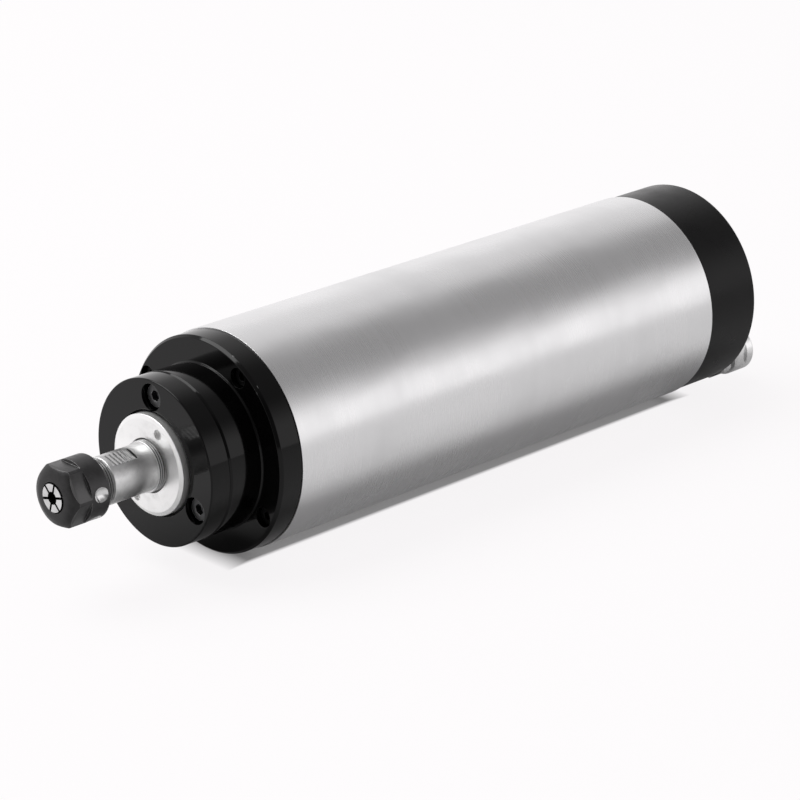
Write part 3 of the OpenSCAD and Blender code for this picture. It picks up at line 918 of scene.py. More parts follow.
def smooth(piece: bpy.types.Object, angle: float = 31.0) -> None:
    """Shades a piece smooth, apart from edges that turn by more than an angle in degrees."""
    piece.data.shade_smooth()
    piece.data.set_sharp_from_angle(angle=math.radians(angle))


# What rounding an outline keeps to: the narrowest and widest half angle of a corner that it rounds,
# in radians, the share of a side that one round may take, and the margins that a strip needs
NARROWEST, WIDEST = math.radians(2), math.radians(88)
SIDE_SHARE = 0.42
STRIP_ROOM = 3


def rounded(corners: Outline, steps: int = 4, margin: float = 0.05) -> tuple[np.ndarray, np.ndarray]:
    """Rounds the corners of a closed outline, with a narrow flat strip beside each round.

    Args:
        corners: Radius, Y and edge radius of each corner, in millimetres.
        steps: Points on each round.
        margin: Width of the flat strips, in millimetres.

    Returns:
        The points of the outline, and 1 for each point on a round or else 0.
    """
    points: list[Span] = []
    marks: list[float] = []
    count = len(corners)
    for i, (radius, y, edge) in enumerate(corners):
        here = np.array([radius, y])
        back = np.array(corners[i - 1][:2]) - here
        ahead = np.array(corners[(i + 1) % count][:2]) - here
        room_back, room_ahead = np.linalg.norm(back), np.linalg.norm(ahead)
        back, ahead = back / room_back, ahead / room_ahead
        half = math.acos(max(-1.0, min(1.0, float(back @ ahead)))) / 2
        if edge <= 0 or not NARROWEST <= half <= WIDEST:
            points.append((radius, y))
            marks.append(0.0)
            continue
        reach = min(edge / math.tan(half), SIDE_SHARE * room_back, SIDE_SHARE * room_ahead)
        size = reach * math.tan(half)
        centre = here + (back + ahead) / np.linalg.norm(back + ahead) * (size / math.sin(half))
        start, end = here + back * reach, here + ahead * reach
        if room_back > STRIP_ROOM * margin + reach:
            points.append(tuple(start + back * margin))
            marks.append(0.0)
        turn = math.pi - 2 * half
        side = math.copysign(1.0, float(np.cross(start - centre, end - centre)))
        arm = start - centre
        for k in range(steps + 1):
            a = side * turn * k / steps
            points.append(tuple(centre + np.array([arm[0] * math.cos(a) - arm[1] * math.sin(a),
                                                   arm[0] * math.sin(a) + arm[1] * math.cos(a)])))
            marks.append(1.0)
        if room_ahead > STRIP_ROOM * margin + reach:
            points.append(tuple(end + ahead * margin))
            marks.append(0.0)
    return np.array(points), np.array(marks)


# How far a point may lie off a cylinder or off the axis and still count as on it, and how near to a
# point of the outline no new row goes, in millimetres
ON_CYLINDER = 1e-4
ROW_GAP = 0.004


def filled_in(points: np.ndarray, marks: np.ndarray, bands: Sequence[Band],
              radius: float) -> tuple[np.ndarray, np.ndarray]:
    """Adds closely spaced rows to the parts of an outline that lie on one cylinder.

    Args:
        points: Points of the outline.
        marks: The points' edge marks.
        bands: First Y, last Y and row spacing of each band, in millimetres.
        radius: Radius of the cylinder.

    Returns:
        The new points and marks.
    """
    out: list[Span] = []
    out_marks: list[float] = []
    count = len(points)
    for i in range(count):
        a, b = points[i], points[(i + 1) % count]
        out.append(tuple(a))
        out_marks.append(marks[i])
        if max(abs(a[0] - radius), abs(b[0] - radius)) > ON_CYLINDER:
            continue
        low, high = min(a[1], b[1]), max(a[1], b[1])
        rows: set[float] = set()
        for first, last, step in bands:
            for k in range(int(round((last - first) / step)) + 1):
                y = round(first + k * step, 4)
                if low + ROW_GAP < y < high - ROW_GAP:
                    rows.add(y)
        for y in sorted(rows, reverse=bool(b[1] < a[1])):
            out.append((radius, y))
            out_marks.append(0.0)
    return np.array(out), np.array(out_marks)


def turned(name: str, points: np.ndarray, marks: np.ndarray | None = None, segments: int = 256,
           centre: Line = AXIS) -> bpy.types.Object:
    """Turns an outline about a line along Y.

    Args:
        name: Name of the object.
        points: Radius and Y of each point of the closed outline, in millimetres.
        marks: Edge mark of each point.
        segments: Steps round the line.
        centre: X and Z of the line, in millimetres.

    Returns:
        The new object, with its faces outwards and the edge marks on its points.
    """
    if marks is None:
        marks = np.zeros(len(points))
    angles = np.linspace(0, 2 * math.pi, segments, endpoint=False)
    coordinates: list[Point] = []
    rows: list[list[int]] = []
    values: list[float] = []
    for (radius, y), mark in zip(points, marks):
        spots = angles if radius > ON_CYLINDER else angles[:1]
        first = len(coordinates)
        for a in spots:
            coordinates.append(((centre[0] + radius * math.cos(a)) * MM, y * MM,
                                (centre[1] + radius * math.sin(a)) * MM))
        rows.append(list(range(first, len(coordinates))))
        values += [float(mark)] * len(spots)
    faces: list[tuple[int, ...]] = []
    for i, row in enumerate(rows):
        after = rows[(i + 1) % len(rows)]
        if len(row) == 1 and len(after) == 1:
            continue
        for j in range(segments):
            k = (j + 1) % segments
            if len(row) == 1:
                faces.append((row[0], after[j], after[k]))
            elif len(after) == 1:
                faces.append((row[j], after[0], row[k]))
            else:
                faces.append((row[j], after[j], after[k], row[k]))
    mesh = bpy.data.meshes.new(name)
    mesh.from_pydata(coordinates, [], faces)
    mesh.attributes.new(EDGE, "FLOAT", "POINT").data.foreach_set("value", values)
    outward(mesh)
    return link(name, mesh)


def outward(mesh: bpy.types.Mesh) -> None:
    """Points all faces of a closed mesh outwards.

    Args:
        mesh: The mesh.
    """
    store = bmesh.new()
    store.from_mesh(mesh)
    bmesh.ops.recalc_face_normals(store, faces=store.faces)
    if store.calc_volume(signed=True) < 0:
        bmesh.ops.reverse_faces(store, faces=store.faces)
    store.to_mesh(mesh)
    store.free()


def lathe(name: str, corners: Outline, segments: int = 256, centre: Line = AXIS,
          steps: int = 4) -> bpy.types.Object:
    """Rounds an outline and turns it.

    Args:
        name: Name of the object.
        corners: Radius, Y and edge radius of each corner, in millimetres.
        segments: Steps round the line.
        centre: X and Z of the line, in millimetres.
        steps: Points on each round.

    Returns:
        The new object.
    """
    points, marks = rounded(corners, steps)
    return turned(name, points, marks, segments, centre)


def spot(angle: float, reach: float, centre: Line = AXIS) -> Line:
    """Finds a place beside a line along Y.

    Args:
        angle: Its direction, in degrees.
        reach: Its distance from the line.
        centre: X and Z of the line.

    Returns:
        X and Z of the place.
    """
    a = math.radians(angle)
    return centre[0] + reach * math.cos(a), centre[1] + reach * math.sin(a)


def rod(y0: float, y1: float, radius: float, centre: Line = AXIS, tip: float = 0.0,
        segments: int = 48) -> bpy.types.Object:
    """Makes a plain rod along Y, for cutting.

    Args:
        y0: Start.
        y1: End.
        radius: Radius.
        centre: X and Z of the rod's line.
        tip: Length of a drill point beyond the end.
        segments: Sides of the rod.

    Returns:
        The new object.
    """
    outline = [(0.0, y0), (radius, y0), (radius, y1), (0.0, y1 + tip)]
    return turned("rod", np.array(outline), segments=segments, centre=centre)


def prism(y0: float, y1: float, outline: Sequence[Line], name: str = "prism") -> bpy.types.Object:
    """Makes a straight solid along Y from an outline in X and Z.

    Args:
        y0: Start, in millimetres.
        y1: End.
        outline: X and Z of its corners, in order.
        name: Name of the object.

    Returns:
        The new object.
    """
    count = len(outline)
    coordinates = [(x * MM, y * MM, z * MM) for y in (y0, y1) for x, z in outline]
    faces: list[tuple[int, ...]] = [tuple(range(count)), tuple(range(2 * count - 1, count - 1, -1))]
    faces += [(i, i + count, (i + 1) % count + count, (i + 1) % count) for i in range(count)]
    mesh = bpy.data.meshes.new(name)
    mesh.from_pydata(coordinates, [], faces)
    outward(mesh)
    return link(name, mesh)


def bar(y0: float, y1: float, near: float, far: float, half: float, angle: float,
        centre: Line = AXIS) -> bpy.types.Object:
    """Makes a box along Y that reaches outwards from a line at an angle.

    Args:
        y0: Start.
        y1: End.
        near: Its distance from the line.
        far: Where it ends.
        half: Half its width.
        angle: Its direction, in degrees.
        centre: X and Z of the line.

    Returns:
        The new object.
    """
    a = math.radians(angle)
    corners = [(near, -half), (far, -half), (far, half), (near, half)]
    return prism(y0, y1, [(centre[0] + (u * math.cos(a) - w * math.sin(a)),
                           centre[1] + (u * math.sin(a) + w * math.cos(a))) for u, w in corners], "bar")


def hexagon(across: float, centre: Line = AXIS, turn: float = 0.0) -> list[Line]:
    """Lists the corners of a hexagon.

    Args:
        across: Distance across its flats.
        centre: X and Z of its centre.
        turn: Angle of its first corner, in degrees.

    Returns:
        X and Z of the corners.
    """
    return [spot(turn + 60 * i, across / math.sqrt(3), centre) for i in range(6)]


def hand_over(piece: bpy.types.Object, finish: Finish | None, body: Body, slot: Slot, *nodes: str) -> None:
    """Finishes a piece, puts it on its body and hides the CAD nodes that it stands for.

    Args:
        piece: The object.
        finish: Its finish, or nothing if it is already dressed.
        body: The body that it rides on.
        slot: The record's material slot; not used.
        *nodes: The CAD nodes.
    """
    if finish is not None:
        piece.data.materials.clear()
        piece.data.materials.append(finish.material())
    smooth(piece)
    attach(piece, body.value)
    if nodes:
        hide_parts(*nodes)
    LOG.info("%s: %d faces, rides on %s", piece.name, len(piece.data.polygons), body.value)


# ---------------------------------------------------------------------------------------------
# Sub-assemblies


@dataclass
class BodySleeve:
    """The ground tube that a clamp holds.

    Attributes:
        length: Length of the tube.
        radius: Its outer radius.
        wall: Its wall.
        edge: Its broken edges.
    """

    length: float = 173.0
    radius: float = 32.5
    wall: float = 2.0
    edge: float = 0.06

    def build(self) -> bpy.types.Object:
        """Turns the tube."""
        inner = self.radius - self.wall
        return lathe("body_sleeve", [(inner, 0, 0), (self.radius, 0, self.edge),
                                     (self.radius, self.length, self.edge), (inner, self.length, 0)], 320)

    def dress(self) -> None:
        """Builds the tube and hands it over."""
        hand_over(self.build(), SLEEVE, Body.HOUSING, Slot.SLEEVE, "outer_tube")


@dataclass(frozen=True)
class ScrewSize:
    """Sizes of one socket head cap screw.

    Attributes:
        shank: Diameter of the shank.
        head: Diameter of the head.
        height: Height of the head.
        key: Width of the hexagon key.
    """

    shank: float
    head: float
    height: float
    key: float


M3 = ScrewSize(3, 5.5, 3, 2.5)
M4 = ScrewSize(4, 7, 3.6, 3)


@dataclass
class SocketScrews:
    """A set of equal socket head cap screws along Y.

    Attributes:
        name: Name of the piece.
        node: CAD node that the set stands for.
        places: Angle and distance from the axis of each screw.
        seat: Y of the underside of the heads.
        size: Sizes of the screws.
        length: Length under the head.
        seed: Seed of the chance angles.
        backwards: Whether the screws point to -Y.
        finish: Finish of the screws.
        ribs: Ribs of the knurl round the head.
        knurl: Depth of the knurl, as a share of the radius.
        key_turn: Angle of the key's first corner, a degree off the ribs so that no edges meet.
        key_depth: Depth of the key, as a share of the head's height.
    """

    name: str
    node: str
    places: list[Place]
    seat: float
    size: ScrewSize
    length: float
    seed: int
    backwards: bool = False
    finish: Finish = SCREW_BLACK
    ribs: int = 30
    knurl: float = 0.022
    key_turn: float = 91.0
    key_depth: float = 0.55

    def screw(self) -> bpy.types.Object:
        """Makes one screw that points to +Y, or to -Y where the set is turned round.

        Returns:
            The screw, with the underside of its head at Y = 0.
        """
        radius, half, top, key = self.size.head / 2, self.size.shank / 2, -self.size.height, self.size.key
        points, marks = rounded([(0, top, 0), (radius, top, 0.32), (radius, 0, 0.1), (half, 0, 0.05),
                                 (half, self.length, 0.35), (0, self.length, 0)], 3)
        screw = turned("socket_screw", points, marks, self.ribs * 4)
        for vertex in screw.data.vertices:
            x, y, z = vertex.co
            if math.hypot(x, z) > (radius - 0.05) * MM and y < -0.3 * MM:
                rib = 0.5 + 0.5 * math.cos(self.ribs * math.atan2(z, x))
                vertex.co = (x * (1 - self.knurl * rib), y, z * (1 - self.knurl * rib))
        depth = self.size.height * self.key_depth
        carve(screw, [prism(top - 1, top + depth, hexagon(key, turn=self.key_turn))])
        carve(screw, [rod(top - 0.5, top + depth * 0.9, key * 0.46, tip=key * 0.25, segments=22)])
        if self.backwards:
            for vertex in screw.data.vertices:
                vertex.co = (vertex.co.x, -vertex.co.y, -vertex.co.z)
        return screw

    def build(self, rule: Rule) -> bpy.types.Object:
        """Sets the screws on their places.

        Args:
            rule: The rule that sets fasteners on points.

        Returns:
            All screws as one object.
        """
        screw = self.screw()
        points = bpy.data.meshes.new(self.name)
        spots = [spot(*place) for place in self.places]
        points.from_pydata([(x * MM, self.seat * MM, z * MM) for x, z in spots], [], [])
        piece = link(self.name, points)
        rule.run(piece, self.finish.material(), Fastener=screw, Seed=self.seed)
        discard(screw)
        return piece

    def dress(self, rule: Rule) -> None:
        """Builds the set and hands it over."""
        hand_over(self.build(rule), self.finish, Body.HOUSING, Slot.SCREW, self.node)


@dataclass
class FrontBell:
    """The black front end bell, with its rim, its boss and four sunk screws.

    Attributes:
        rim: Radius of the rim.
        boss: Radius of the boss.
        face: Y of the rim's front face.
        seam: Y of the boss's front face.
        screw_angles: Angles of the rim screws.
        screw_reach: Their distance from the axis.
        screw_sink: Depth of their counterbores.
    """

    rim: float = 32.15
    boss: float = 24.65
    face: float = -7.8
    seam: float = COVER_SEAM
    screw_angles: Angles = (59, 149, 239, 329)
    screw_reach: float = 28.3
    screw_sink: float = 4.6

    def build(self) -> bpy.types.Object:
        """Turns the bell and drills it.

        Returns:
            The bell.
        """
        foot = self.boss + 0.05
        corners = [(16, self.seam, 0.2), (self.boss - 0.5, self.seam, 0.12),
                   (self.boss, self.seam + 0.55, 0.15), (self.boss - 0.3, self.face - 0.45, 0.06),
                   (foot, self.face - 0.15, 0.06), (foot, self.face, 0.06),
                   (self.rim - 0.75, self.face, 0.25), (self.rim, self.face + 0.85, 0.25),
                   (self.rim, -0.02, 0.12), (25.95, -0.02, 0.1), (25.95, 12, 0.5),
                   (13.6, 12, 0.3), (13.6, 8.4, 0.1), (16, 8.4, 0.1)]
        piece = lathe("front_bell", corners, 320)
        screws = [spot(a, self.screw_reach) for a in self.screw_angles]
        tools = [rod(self.face - 1, self.face + self.screw_sink, 2.95, place) for place in screws]
        tools += [rod(self.seam - 1, self.seam + 9, 1.9, spot(a, COVER_REACH), 1.2) for a in COVER_ANGLES]
        carve(piece, tools)
        carve(piece, [rod(self.face + 4, 1, 1.6, place) for place in screws])
        return piece

    def dress(self, rule: Rule) -> None:
        """Builds the bell and its screws and hands them over.

        Args:
            rule: The rule that sets fasteners on points.
        """
        hand_over(self.build(), BLACK, Body.HOUSING, Slot.ANODISED, "front_flange")
        # The sunk screws take the darker finish, which paints the shade of their counterbores.
        SocketScrews("bell_screws", "flange_screws", [(a, self.screw_reach) for a in self.screw_angles],
                     self.face + self.screw_sink, M3, 12, 5, finish=SUNK_SCREW_SHADE).dress(rule)


@dataclass
class BearingCover:
    """The black cover on the boss, with three screws in counterbores.

    Attributes:
        front: Y of its front face.
        seam: Y of its rear face.
        radius: Its outer radius.
        bore: Radius of the bore round the lock nut.
        sink: Radius of the screws' counterbores.
        depth: Depth of the counterbores.
    """

    front: float = -26.6
    seam: float = COVER_SEAM
    radius: float = 24.55
    bore: float = 15.5
    sink: float = 4.0
    depth: float = 5.2

    def build(self) -> bpy.types.Object:
        """Turns the cover and drills it.

        Returns:
            The cover.
        """
        corners = [(self.bore, self.front, 0.22), (self.radius, self.front, 0.4),
                   (self.radius, self.seam - 0.35, 0.1), (self.radius - 0.35, self.seam, 0.1),
                   (15.95, self.seam, 0.1), (15.95, COVER_END, 0.1), (13.8, COVER_END, 0.1),
                   (13.8, self.seam - 0.4, 0.1), (10.2, self.seam - 0.4, 0.1),
                   (10.2, self.seam - 2.8, 0.2), (self.bore, self.seam - 2.8, 0.1)]
        piece = lathe("bearing_cover", corners, 320)
        screws = [spot(a, COVER_REACH) for a in COVER_ANGLES]
        carve(piece, [rod(self.front - 1, self.front + self.depth, self.sink, place, segments=64)
                      for place in screws])
        carve(piece, [rod(self.front + 4, self.seam + 2, 2.2, place) for place in screws])
        return piece

    def dress(self, rule: Rule) -> None:
        """Builds the cover and its screws and hands them over.

        Args:
            rule: The rule that sets fasteners on points.
        """
        hand_over(self.build(), BLACK, Body.HOUSING, Slot.ANODISED, "front_cover")
        SocketScrews("cover_screws", "cover_screws", [(a, COVER_REACH) for a in COVER_ANGLES],
                     self.front + self.depth, M4, 10, 11).dress(rule)


@dataclass
class LockNut:
    """The bright round nut and dust slinger at the mouth of the cover.

    Attributes:
        face: Y of its front face.
        radius: Its radius.
        bore: Radius of its bore.
        holes: Angles of the spanner holes.
        hole_reach: Their distance from the axis.
        hole: Their radius.
        hole_depth: Their depth.
    """

    face: float = -29.1
    radius: float = 14.8
    bore: float = 7.56
    holes: Angles = (65, 245)
    hole_reach: float = 11.6
    hole: float = 1.5
    hole_depth: float = 1.1

    def build(self) -> bpy.types.Object:
        """Turns the nut and drills its spanner holes.

        Returns:
            The nut.
        """
        corners = [(self.bore, self.face + 0.5, 0.05), (self.bore + 0.45, self.face, 0.1),
                   (self.radius - 1.15, self.face, 0.3), (self.radius, self.face + 0.55, 0.2),
                   (self.radius, -23.0, 0.2), (9.6, -23.0, 0.2), (9.6, COVER_END, 0.1),
                   (self.bore, COVER_END, 0.1)]
        piece = lathe("lock_nut", corners, 256)
        carve(piece, [rod(self.face - 1, self.face + self.hole_depth, self.hole, spot(a, self.hole_reach),
                          0.35, 40) for a in self.holes])
        return piece

    def dress(self) -> None:
        """Builds the nut and hands it over."""
        hand_over(self.build(), NUT_FACE, Body.ROTOR, Slot.LOCK_NUT, "shaft_lock_nut")


@dataclass
class SpindleShaft:
    """The ground shaft, whose nose follows two rules: a rolled thread and milled spanner flats.

    Attributes:
        nose: Radius of the nose.
        neck: Radius behind the nose, where the lock nut's thread is.
        seat: Radius of the collet seat at its mouth.
        mouth: Y of that mouth.
        pitch: Pitch of both threads.
        thread_depth: Depth of both threads.
        flats_across: Distance across the spanner flats.
        flats_angle: Direction of the first flat.
        flats: Y where the flats begin and end.
        ripple: Height of the cutter marks on the flats.
        ripple_pitch: Length of two cutter marks.
        ripple_slant: Angle of the cutter marks.
    """

    nose: float = 7.0
    neck: float = 7.5
    seat: float = 5.78
    mouth: float = -59.1
    pitch: float = 0.75
    thread_depth: float = 0.42
    flats_across: float = 13.0
    flats_angle: float = 72.0
    flats: Span = (-44.5, -35.9)
    ripple: float = 0.1
    ripple_pitch: float = 2.8
    ripple_slant: float = 3.0

    def taper(self, y: float) -> float:
        """Returns the radius of the collet seat at a station along the axis."""
        return self.seat - (y - self.mouth) * COLLET_TAPER

    def outline(self) -> tuple[np.ndarray, np.ndarray]:
        """Lists the shaft's outline, with close rows where a rule shapes it.

        Returns:
            The points and their edge marks.
        """
        corners = [(0, -34, 0), (3.4, -36, 0), (3.4, -43.4, 0), (self.taper(-43.4), -43.4, 0.05),
                   (self.taper(-58), -58, 0.15), (self.nose, -58, 0.4), (self.nose, -30.9, 0.05),
                   (self.neck, -30.9, 0.12), (self.neck, 8.4, 0.1), (9.4, 8.4, 0.2), (9.4, 22.4, 0.2),
                   (9, 23.4, 0.1), (9, 137, 0.3), (7.5, 139, 0.2), (7.5, 158, 0.1), (6, 158, 0.1),
                   (6, 166.05, 0.05), (5.5, 166.05, 0), (5.5, 167.15, 0), (6, 167.15, 0.05), (6, 169, 0.3),
                   (5.5, 169.5, 0.1), (0, 169.5, 0)]
        points, marks = rounded(corners, 4, 0.03)
        start, end = self.flats
        bands = [(-57.4, -45.4, self.pitch / 10), (start - 0.03, start + 0.05, 0.02),
                 (start + 0.1, end - 0.1, 0.12), (end - 0.05, end + 0.05, 0.02)]
        points, marks = filled_in(points, marks, bands, self.nose)
        return filled_in(points, marks, [(-30.7, -27.5, self.pitch / 10)], self.neck)

    def build(self, thread: Rule, flats: Rule) -> bpy.types.Object:
        """Turns the shaft, then runs the rules on it.

        Args:
            thread: The rule that cuts a thread.
            flats: The rule that mills flats.

        Returns:
            The shaft.
        """
        points, marks = self.outline()
        piece = turned("spindle_shaft", points, marks, 240)
        finish = SHAFT_STEEL.material()
        for start, end, radius in ((-57.6, -45.6, self.nose), (-31.2, -27.0, self.neck)):
            thread.run(piece, finish, Start=start * MM, End=end * MM, Pitch=self.pitch * MM,
                       Depth=self.thread_depth * MM, Major_Radius=radius * MM, Centre_X=0.0, Centre_Z=0.0)
        flats.run(piece, finish, Start=self.flats[0] * MM, End=self.flats[1] * MM,
                  Half_Distance=self.flats_across / 2 * MM, Angle=math.radians(self.flats_angle),
                  Ripple=self.ripple * MM, Ripple_Pitch=self.ripple_pitch * MM,
                  Slant=math.radians(self.ripple_slant), Major_Radius=self.nose * MM)
        return piece

    def dress(self, thread: Rule, flats: Rule) -> None:
        """Builds the shaft and hands it over."""
        hand_over(self.build(thread, flats), SHAFT_STEEL, Body.ROTOR, Slot.SHAFT, "shaft")


@dataclass
class ColletChuck:
    """The slotted collet and its hexagonal clamping nut.

    Attributes:
        shank: Radius of the tool shank that the collet holds.
        slots: Slots at each end of the collet.
        slot_half: Half the width of a slot.
        first_slot: Angle of the first front slot.
        nut_radius: Outer radius of the nut.
        nut_face: Radius of its front face, inside the dome.
        nut_across: Distance across its flats.
        nut_angle: Direction of its first flat.
        drillings: Angles of the balance drillings.
        drill_y: Y of their middle.
        drill_radius: Their radius.
        drill_depth: How deep their points go.
    """

    shank: float = 1.5875
    slots: int = 6
    slot_half: float = 0.37
    first_slot: float = 15.0
    nut_radius: float = 9.3
    nut_face: float = 6.3
    nut_across: float = 16.6
    nut_angle: float = 29.0
    drillings: Angles = (5, -55)
    drill_y: float = -52.8
    drill_radius: float = 2.3
    drill_depth: float = 2.12

    def collet(self) -> bpy.types.Object:
        """Turns the collet and saws its slots.

        Returns:
            The collet, dressed.
        """
        tail = 5.75 - 14.4 * COLLET_TAPER
        corners = [(self.shank, -62.7, 0.05), (4.12, -62.7, 0.1), (5.3, -61.05, 0.05), (5.3, -60.8, 0.05),
                   (4.75, -60.8, 0.05), (4.75, -59.6, 0.05), (5.65, -59.6, 0.05), (5.75, -59.1, 0.05),
                   (tail, -44.7, 0.2), (self.shank, -44.7, 0.15)]
        piece = lathe("spring_collet", corners, 180)
        piece.data.materials.append(COLLET_STEEL.material())
        step = 360 / self.slots
        slots = [bar(y0, y1, 1.35, 7.5, self.slot_half, self.first_slot + step * (i + shift))
                 for y0, y1, shift in ((-64, -48.2, 0.0), (-58.1, -43, 0.5)) for i in range(self.slots)]
        mouth = rod(-63.5, -59.5, self.shank + 0.27, segments=96)
        gap = lathe("gap", [(4.1, -63.5, 0), (6.5, -63.5, 0), (6.5, -61.6, 0), (4.1, -61.6, 0)], 180)
        # The slots, the mouth and the gap give their cut faces the near-black finish: painted shade in these
        # recesses.
        for tools in (slots, [mouth], [gap]):
            for tool in tools:
                tool.data.materials.append(SLOT_SHADE.material())
            carve(piece, tools)
        return piece

    def nut(self) -> bpy.types.Object:
        """Turns the nut, mills its hexagon and drills its balance marks.

        Returns:
            The nut, dressed.
        """
        r = self.nut_radius
        corners = [(4.4, -62.4, 0.1), (self.nut_face, -62.4, 0), (8.0, -61.8, 0), (r, -60.4, 0.15),
                   (r, -49.7, 0.45), (7.25, -49.7, 0.1), (7.05, -50.0, 0.05), (7.05, -58.4, 0.1),
                   (5.85, -58.4, 0.1), (5.85, -59.65, 0.05), (4.85, -59.65, 0.05), (4.85, -60.75, 0.05),
                   (5.38, -60.75, 0.05), (5.38, -61.05, 0.05)]
        piece = lathe("collet_nut", corners, 240)
        piece.data.materials.append(OXIDE.material())
        flats = [bar(-63.4, -56.1, self.nut_across / 2, 12, 4.5, self.nut_angle + 60 * i) for i in range(6)]
        drills = [self.drill(angle) for angle in self.drillings]
        for tools, finish in ((flats, OXIDE_FLAT), (drills, DRILLED)):
            for tool in tools:
                tool.data.materials.append(finish.material())
            carve(piece, tools)
        return piece

    def drill(self, angle: float) -> bpy.types.Object:
        """Makes one balance drill with its point.

        Args:
            angle: Direction that it reaches to from its point, in degrees.

        Returns:
            The drill.
        """
        sides, shoulder, length = 48, 2.0, 4.0
        depth = self.nut_radius - self.drill_depth
        ring = [(self.drill_radius * math.cos(2 * math.pi * k / sides),
                 self.drill_radius * math.sin(2 * math.pi * k / sides)) for k in range(sides)]
        places = [(depth, 0.0, 0.0)]
        places += [(depth + reach, along, aside) for reach in (shoulder, length) for along, aside in ring]
        c, s = math.cos(math.radians(angle)), math.sin(math.radians(angle))
        coordinates = [((reach * c - aside * s) * MM, (self.drill_y + along) * MM,
                        (reach * s + aside * c) * MM) for reach, along, aside in places]
        faces: list[tuple[int, ...]] = []
        for k in range(sides):
            n = (k + 1) % sides
            faces += [(0, 1 + n, 1 + k), (1 + k, 1 + n, 1 + sides + n, 1 + sides + k)]
        faces.append(tuple(1 + sides + k for k in range(sides)))
        mesh = bpy.data.meshes.new("drill")
        mesh.from_pydata(coordinates, [], faces)
        outward(mesh)
        return link("drill", mesh)

    def dress(self) -> None:
        """Builds both pieces and hands them over."""
        hand_over(self.collet(), None, Body.COLLET, Slot.COLLET, "collet")
        hand_over(self.nut(), None, Body.NUT, Slot.CLAMPING_NUT, "collet_nut")


@dataclass
class RearBell:
    """The black rear cap with four long screws.

    Attributes:
        radius: Its radius.
        front: Y where it meets the tube.
        back: Y of its rear face.
        angles: Angles of the screws.
        reach: Their distance from the axis.
        sink: Depth of their counterbores.
    """

    radius: float = 32.15
    front: float = 173.0
    back: float = REAR_FACE
    angles: Angles = (25, 155, 205, 335)
    reach: float = 28.3
    sink: float = 5.0

    def build(self) -> bpy.types.Object:
        """Turns the cap and drills it.

        Returns:
            The cap.
        """
        seam, floor, above = self.front + 0.02, self.back - 4.5, self.back + 1
        corners = [(0, self.back, 0), (self.radius, self.back, 0.7), (self.radius, seam, 0.22),
                   (24.5, seam, 0.3), (24.5, floor, 0.4), (0, floor, 0)]
        piece = lathe("rear_bell", corners, 320)
        screws = [spot(a, self.reach) for a in self.angles]
        tools = [rod(self.back - self.sink, above, 3, place) for place in screws]
        tools += [rod(self.back - 6, above, 8, (0, SOCKET_HEIGHT), segments=72)]
        tools += [rod(self.back - 10, above, 5, spot(a, UNION_REACH)) for a in UNION_ANGLES]
        carve(piece, tools)
        carve(piece, [rod(self.front - 1, self.back - 4, 1.6, place) for place in screws])
        return piece

    def dress(self, rule: Rule) -> None:
        """Builds the cap and its screws and hands them over.

        Args:
            rule: The rule that sets fasteners on points.
        """
        hand_over(self.build(), CAP_BLACK, Body.HOUSING, Slot.ANODISED, "rear_cap")
        SocketScrews("rear_bell_screws", "rear_cap_screws", [(a, self.reach) for a in self.angles],
                     self.back - self.sink, M3, 32, 23, backwards=True).dress(rule)


